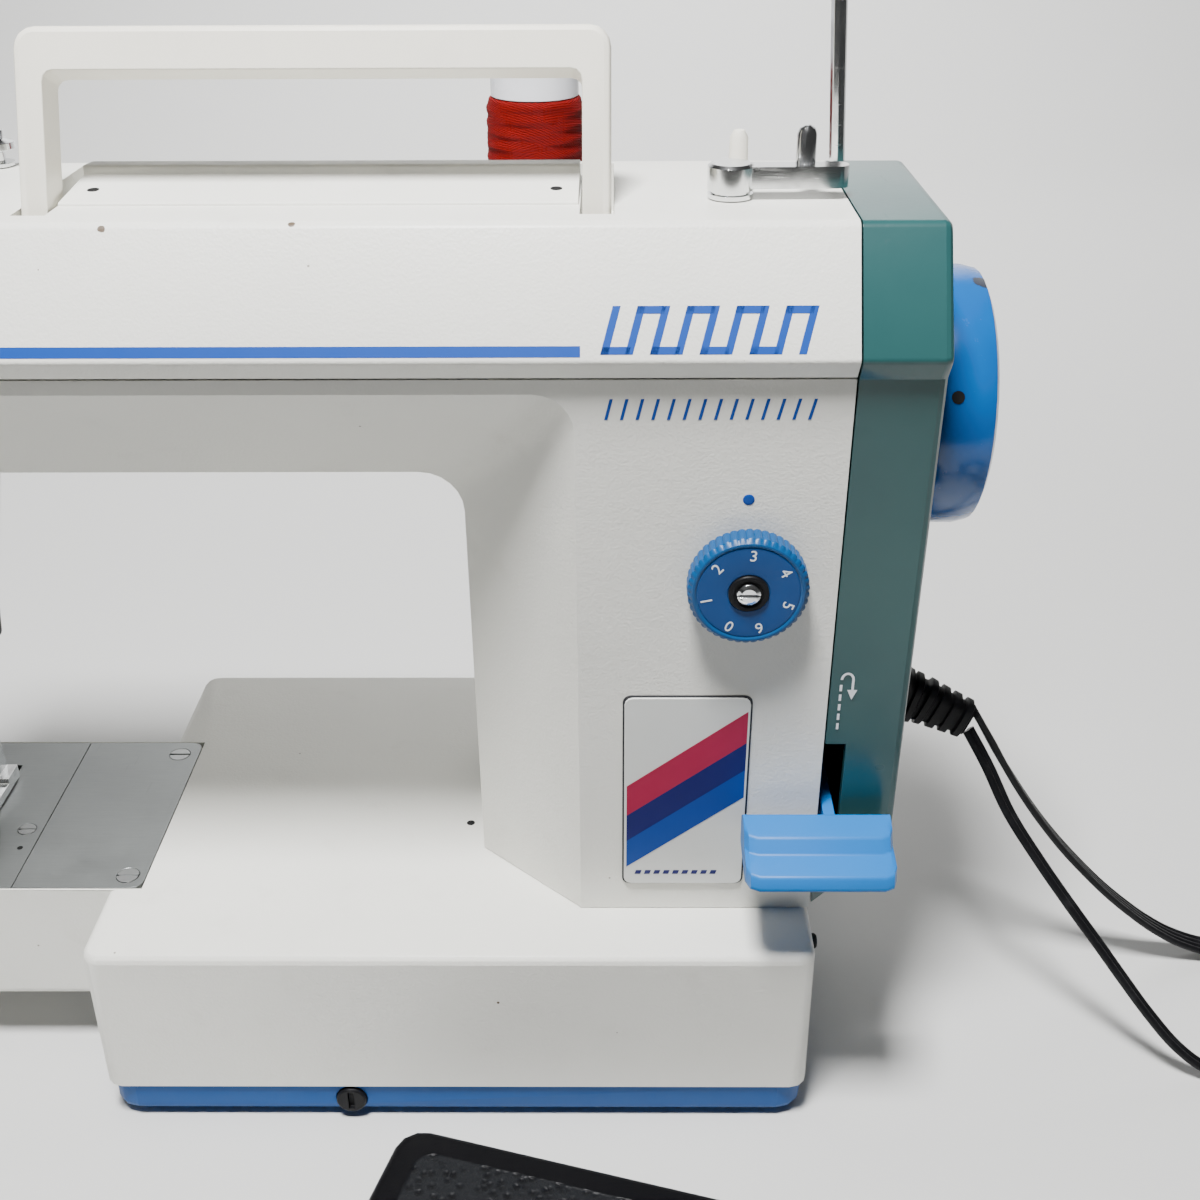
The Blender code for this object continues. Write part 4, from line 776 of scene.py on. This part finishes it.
def onPillar(name, outline, finish, proud=0.03, thick=0.07):
    # the outline's heights are counted from the table, up the leaning face
    base = np.array([0.0, faceY(0.0), 0.0])
    outline = np.asarray(outline, float) * [1.0, math.hypot(0.0594, 1.0)]
    piece = slab(name, outline, base, (1, 0, 0), pillarUp, thick, finish, proud)
    return ridesOn(piece, "machine")


def printMarks(setup):
    band = setup["stripe"]
    wide = band["to"] - band["from"]
    onCover("coverStripe", slanted(band["from"], band["low"], wide, band["tall"], 0.0), "inkBlue")
    m = setup["meander"]
    for k in range(m["count"]):
        left = m["left"] + k * m["pitch"]
        onCover(f"meanderBar{k}", slanted(left, m["low"], m["wide"], m["tall"], m["lean"]), "inkBlue")
        if k < m["count"] - 1:
            up = k % 2
            low = m["low"] + (m["tall"] - m["wide"]) * up
            shift = m["lean"] * (m["tall"] - m["wide"]) / m["tall"] * up
            lean = m["lean"] * m["wide"] / m["tall"]
            across = slanted(left + shift, low, m["pitch"] + m["wide"] * 0.5, m["wide"], lean)
            onCover(f"meanderJoin{k}", across, "inkBlue")
    t = setup["ticks"]
    for k in range(t["count"]):
        left = t["left"] + k * t["pitch"]
        onPillar(f"tick{k}", slanted(left, t["low"], t["wide"], t["tall"], t["lean"]), "inkBlue")


badgeSetup = {
    "left": 8.3, "right": 45.7, "rise": 29.2,
    "bands": [("inkCrimson", 113.0, 125.0), ("inkNavy", 102.4, 113.0), ("inkSea", 91.4, 102.4)],
}


def roundedBox(x0, z0, x1, z1, radius, steps=6):
    turn = np.linspace(0, math.pi / 2, steps)
    arc = radius * np.stack([np.cos(turn), np.sin(turn)], 1)
    left, right, low, high = x0 + radius, x1 - radius, z0 + radius, z1 - radius
    points = []
    for quarter, (x, z) in enumerate([(right, high), (left, high), (left, low), (right, low)]):
        c, s = round(math.cos(quarter * math.pi / 2)), round(math.sin(quarter * math.pi / 2))
        points.append(np.stack([x + arc[:, 0] * c - arc[:, 1] * s, z + arc[:, 0] * s + arc[:, 1] * c], 1))
    return np.concatenate(points)


def printBadge(setup):
    # painted shadow: a dark rounded sheet just behind the badge bands, showing round them as the badge's
    # shadow on the pillar
    onPillar("badgeShadow", roundedBox(6.9, 83.4, 47.0, 159.6, 2.6), "shadowDark", 0.02, 0.3)
    for name, low, high in setup["bands"]:
        wide = setup["right"] - setup["left"]
        band = [(0, low), (wide, low + setup["rise"]), (wide, high + setup["rise"]), (0, high)]
        band = np.asarray(band, float) + [setup["left"], 0.0]
        onPillar("badge" + name[3:], band, name, 1.12, 0.06)
    for k in range(9):
        onPillar(f"badgeTick{k}", slanted(11.0 + k * 3.1, 88.3, 1.9, 1.6, 0.5), "inkNavy", 1.12, 0.05)


def printReverseSign():
    # a stitch line that turns back on itself: dashes, a hook and an arrow head
    for k in range(5):
        low = 147.0 + k * 3.6
        onPillar(f"signDash{k}", slanted(73.2, low, 0.75, 2.3, 0.0), "inkWhite", 0.36, 0.06)
    turn = np.linspace(math.pi, 0, 14)
    hook = np.stack([75.4 + 1.75 * np.cos(turn), 165.6 + 2.2 * np.sin(turn)], 1)
    hook = np.concatenate([hook, [(77.15, 161.5)]])
    onPillar("signHook", stroked(hook, 0.75), "inkWhite", 0.36, 0.06)
    onPillar("signHead", [(75.6, 161.8), (78.6, 161.8), (77.1, 158.2)], "inkWhite", 0.36, 0.06)


printMarks(printSetup)
printBadge(badgeSetup)
printReverseSign()
print("marks printed")

dialSetup = {
    "spot": (43.0, 201.0), "flutes": 46,
    "firstAngle": -155.0, "stepAngle": 53.0, "digitRadius": 12.4, "digitSize": 4.9,
}


def makeDial(setup):
    x, z = setup["spot"]
    centre = np.array([x, faceY(z), z])
    lean = math.atan(0.0594)
    axis = np.array([0.0, -math.cos(lean), -math.sin(lean)])
    up = np.array([0.0, -math.sin(lean), math.cos(lean)])

    def flutes(along, out, angle):
        # only the rim's side is fluted: rounded ridges, sin raised to a small power
        side = (out > 16.8) & (along > 1.2) & (along < 7.6)
        return 1 + 0.030 * side * np.abs(np.sin(setup["flutes"] / 2 * angle)) ** 0.6

    rim = [
        (0.5, 0.0), (0.5, 16.4), (1.4, 17.1), (1.9, 17.2), (3.5, 17.2), (5.2, 17.2), (6.9, 17.2),
        (8.3, 16.3), (8.35, 15.6), (7.9, 15.0), (7.9, 0.0),
    ]
    face = [(7.0, 15.0), (7.95, 15.0), (8.1, 14.7), (8.1, 6.2), (7.6, 5.8), (6.5, 5.8)]
    rimPiece = lathe("dialRim", rim, centre, axis, "dialRim", 276, flutes, 0.15, 40.0)
    facePiece = lathe("dialDisc", face, centre, axis, "dialFace", 96, None, 0.1)
    washer = [(6.3, 0.0), (6.3, 5.9), (8.5, 5.9), (8.9, 5.5), (8.9, 4.4), (8.3, 4.2), (8.3, 0.0)]
    washerPiece = lathe("dialWasher", washer, centre, axis, "black", 64, None, 0.15)
    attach(rimPiece, "stitch_dial")
    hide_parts("stitch_dial")
    ridesOn(facePiece, "stitch_dial")
    ridesOn(washerPiece, "stitch_dial")
    for digit in range(7):
        curve = bpy.data.curves.new(f"digit{digit}", "FONT")
        curve.body, curve.size, curve.extrude = str(digit), setup["digitSize"] / 1000, 0.00004
        curve.align_x = "CENTER"
        curve.resolution_u = 4
        holder = bpy.data.objects.new(f"digitText{digit}", curve)
        bpy.context.scene.collection.objects.link(holder)
        bpy.context.view_layer.update()
        mesh = bpy.data.meshes.new_from_object(holder.evaluated_get(bpy.context.evaluated_depsgraph_get()))
        bpy.data.objects.remove(holder)
        points = np.empty(len(mesh.vertices) * 3, np.float32)
        mesh.vertices.foreach_get("co", points)
        points = points.reshape(-1, 3).astype(float) * 1000
        points[:, 1] += setup["digitRadius"] - points[:, 1].max() / 2
        turn = math.radians(setup["firstAngle"] + setup["stepAngle"] * digit)
        a = points[:, 0] * math.cos(turn) + points[:, 1] * math.sin(turn)
        b = points[:, 1] * math.cos(turn) - points[:, 0] * math.sin(turn)
        spots = centre + a[:, None] * [1.0, 0.0, 0.0] + b[:, None] * up + (8.13 + points[:, 2:]) * axis
        mesh.vertices.foreach_set("co", place(spots).astype(np.float32).ravel())
        mesh.update()
        ridesOn(addObject(f"dialDigit{digit}", mesh, "inkWhite"), "stitch_dial")
    dot = [(-0.2, 0.0), (-0.2, 1.7), (0.12, 1.7), (0.22, 1.2), (0.25, 0.0)]
    spot = np.array([42.4, faceY(227.1), 227.1])
    ridesOn(lathe("dialIndex", dot, spot, axis, "inkBlue", 32), "machine")


makeDial(dialSetup)
print("dial made")

pitSetup = {
    "blockLeft": {"spot": (-143.5, -32.0, 305.15), "axis": (0.0, -0.101, 0.995), "radius": 1.5},
    "blockRight": {"spot": (-12.0, -32.0, 305.15), "axis": (0.0, -0.101, 0.995), "radius": 1.5},
    "bedOil": {"spot": (-48.1, -16.2, 72.0), "axis": (0.0, 0.0, 1.0), "radius": 1.3},
    "platePin": {"spot": (-208.7, -31.1, 72.0), "axis": (0.0, 0.0, 1.0), "radius": 0.9},
}


def makePits(setup):
    # an oil hole: a dark cup behind a thin ring, drawn a little proud so that it shows; its black is painted
    # shade standing for the inside of the hole
    for name, pit in setup.items():
        r = pit["radius"]
        cup = [(-0.1, 0.0), (-0.1, r * 1.15), (0.05, r * 1.15), (0.05, r * 0.8), (0.02, 0.0)]
        hole = lathe(name + "Pit", cup, pit["spot"], pit["axis"], "holeShadeBlack", 28, None, 0.0)
        ridesOn(hole, "machine")


makePits(pitSetup)
# the wheel's set-screw hole: a dark cup whose black is painted shade inside the hole
wheelPit = [(-0.1, 0.0), (-0.1, 1.9), (0.1, 1.9), (0.1, 1.5), (0.04, 0.0)]
wheelRadius, screwLift = 40.4, 0.33  # millimetres, and radians above level
wheelOut = np.array([0.0, -math.cos(screwLift), math.sin(screwLift)])
wheelSpot = np.array([104.0, -12.0, 236.0]) + wheelRadius * wheelOut
wheelHole = lathe("wheelScrewPit", wheelPit, wheelSpot, wheelOut, "holeShadeBlack", 28, None, 0.0)
ridesOn(wheelHole, "main_shaft")
bumper = [(-1.0, 0.0), (-1.0, 2.6), (1.0, 2.6), (1.7, 1.9), (1.8, 0.0)]
ridesOn(lathe("sideBumper", bumper, (70.0, -74.0, 66.5), (1, 0, 0), "rubber", 32), "machine")

windingSetup = {"low": 265.5, "high": 312.0, "radius": 16.5, "spot": (-23.0, 80.0)}


def makeWinding(setup):
    # radius(h, a) = barrel bulge + shallow bands where the crossing layers pile up; uv holds millimetres
    rows, columns = 120, 160
    h = np.linspace(0, 1, rows)[:, None]
    a = np.linspace(0, math.tau, columns, endpoint=False)[None]
    bulge = 0.5 * np.sin(math.pi * h) ** 0.5
    layers = 0.16 * np.sin(math.tau * 9 * h + 2 * a) + 0.14 * np.sin(math.tau * 11 * h - 2 * a + 1.0)
    layers += 0.05 * np.sin(math.tau * 31 * h + 3 * a)
    ends = 1 - np.exp(-np.minimum(h, 1 - h) * 60)
    radius = (setup["radius"] + bulge + layers * ends) * (0.93 + 0.07 * ends)
    z = setup["low"] + (setup["high"] - setup["low"]) * h + 0 * a
    x, y = setup["spot"]
    grid = np.stack([x + radius * np.cos(a), y + radius * np.sin(a), z], -1)
    points, faces = capped(grid)
    mesh = meshOf("threadWinding", place(points), faces)
    outward(mesh)
    where = np.empty(len(mesh.vertices) * 3, np.float32)
    mesh.vertices.foreach_get("co", where)
    where = (where.reshape(-1, 3) - machineOrigin) * 1000
    corner = np.empty(len(mesh.loops), np.int32)
    mesh.loops.foreach_get("vertex_index", corner)
    turn = np.arctan2(where[:, 1] - y, where[:, 0] - x)[corner] * 16.5
    wrap = mesh.uv_layers.new(name="wrap")
    wrap.data.foreach_set("uv", np.stack([turn, where[corner, 2]], 1).astype(np.float32).ravel())
    winding = addObject("threadWinding", mesh, "thread", 60.0)
    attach(winding, "spool")
    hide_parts("thread_winding")


makeWinding(windingSetup)
print("thread wound")

reliefSetup = {
    # x, y, z, half width, half height along the plug and its strain relief
    "stages": [
        (95.4, -10.0, 124.0, 7.0, 11.0), (105.0, -10.0, 124.0, 7.0, 11.0), (107.0, -10.2, 123.5, 6.1, 9.6),
        (113.0, -11.0, 121.8, 5.7, 8.7), (120.0, -12.2, 119.0, 5.2, 7.8), (129.6, -13.8, 115.2, 4.7, 7.0),
    ],
    "ribs": 5, "firstRib": 0.36,
}


def makeRelief(setup):
    # point(s, a) = middle(s) + half sizes(s) * rounded square(a), with the ribs cut in as a square wave of s
    stages = np.asarray(setup["stages"], float)
    share = np.linspace(0, 1, 120)
    walked = (stages[:, 0] - stages[0, 0]) / (stages[-1, 0] - stages[0, 0])
    line = np.stack([np.interp(share, walked, stages[:, k]) for k in range(5)], 1)
    ribbed = np.clip((share - setup["firstRib"]) / (1 - setup["firstRib"]), 0, 1) * setup["ribs"]
    groove = (share > setup["firstRib"]) * np.clip(4 * np.cos(math.tau * ribbed) - 0.6, 0, 1) * 1.25
    ahead = np.gradient(line[:, :3], axis=0)
    ahead /= np.linalg.norm(ahead, axis=1)[:, None]
    side = np.cross(ahead, [0.0, 0.0, 1.0])
    side /= np.linalg.norm(side, axis=1)[:, None]
    up = np.cross(side, ahead)
    a = np.linspace(0, math.tau, 48, endpoint=False)
    c = np.sign(np.cos(a)) * np.abs(np.cos(a)) ** 0.6
    d = np.sign(np.sin(a)) * np.abs(np.sin(a)) ** 0.6
    wide, tall = line[:, 3] - groove, line[:, 4] - groove
    sideways = (wide[:, None] * c)[..., None] * side[:, None]
    upwards = (tall[:, None] * d)[..., None] * up[:, None]
    grid = line[:, None, :3] + sideways + upwards
    points, faces = capped(grid)
    relief = addObject("strainRelief", outward(meshOf("strainRelief", place(points), faces)), "black", 40.0)
    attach(relief, "machine")
    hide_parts("connector_plug")


makeRelief(reliefSetup)
print("strain relief made")

# ---- floor and backdrop

stageSetup = {"front": -0.50, "rear": 1.5, "half": 3.0, "bend": 0.7, "height": 2.2}


def makeStage(setup):
    # floor running back into a wall: straight, a quarter circle, then up
    turn = np.linspace(0, math.pi / 2, 24)
    rear, bend = setup["rear"], setup["bend"]
    y = np.concatenate([[setup["front"]], rear + bend * np.sin(turn), [rear + bend]])
    z = np.concatenate([[0.0], bend * (1 - np.cos(turn)), [setup["height"]]])
    x = np.array([-setup["half"], setup["half"]])
    rows = [np.repeat(x[None], len(y), 0), np.repeat(y[:, None], 2, 1), np.repeat(z[:, None], 2, 1)]
    grid = np.stack(rows, -1)
    mesh = meshOf("studioFloor", grid.reshape(-1, 3), gridFaces(len(y), 2, False))
    f = Finish("floorPaint", (0.62, 0.62, 0.61), 0.55)
    f.set("Base Color", f.blend(f.noise(2.0, 3.0), (0.62, 0.62, 0.61), (0.60, 0.60, 0.59)))
    finishes["floor"] = f.material
    addObject("studioFloor", mesh, "floor")


makeStage(stageSetup)
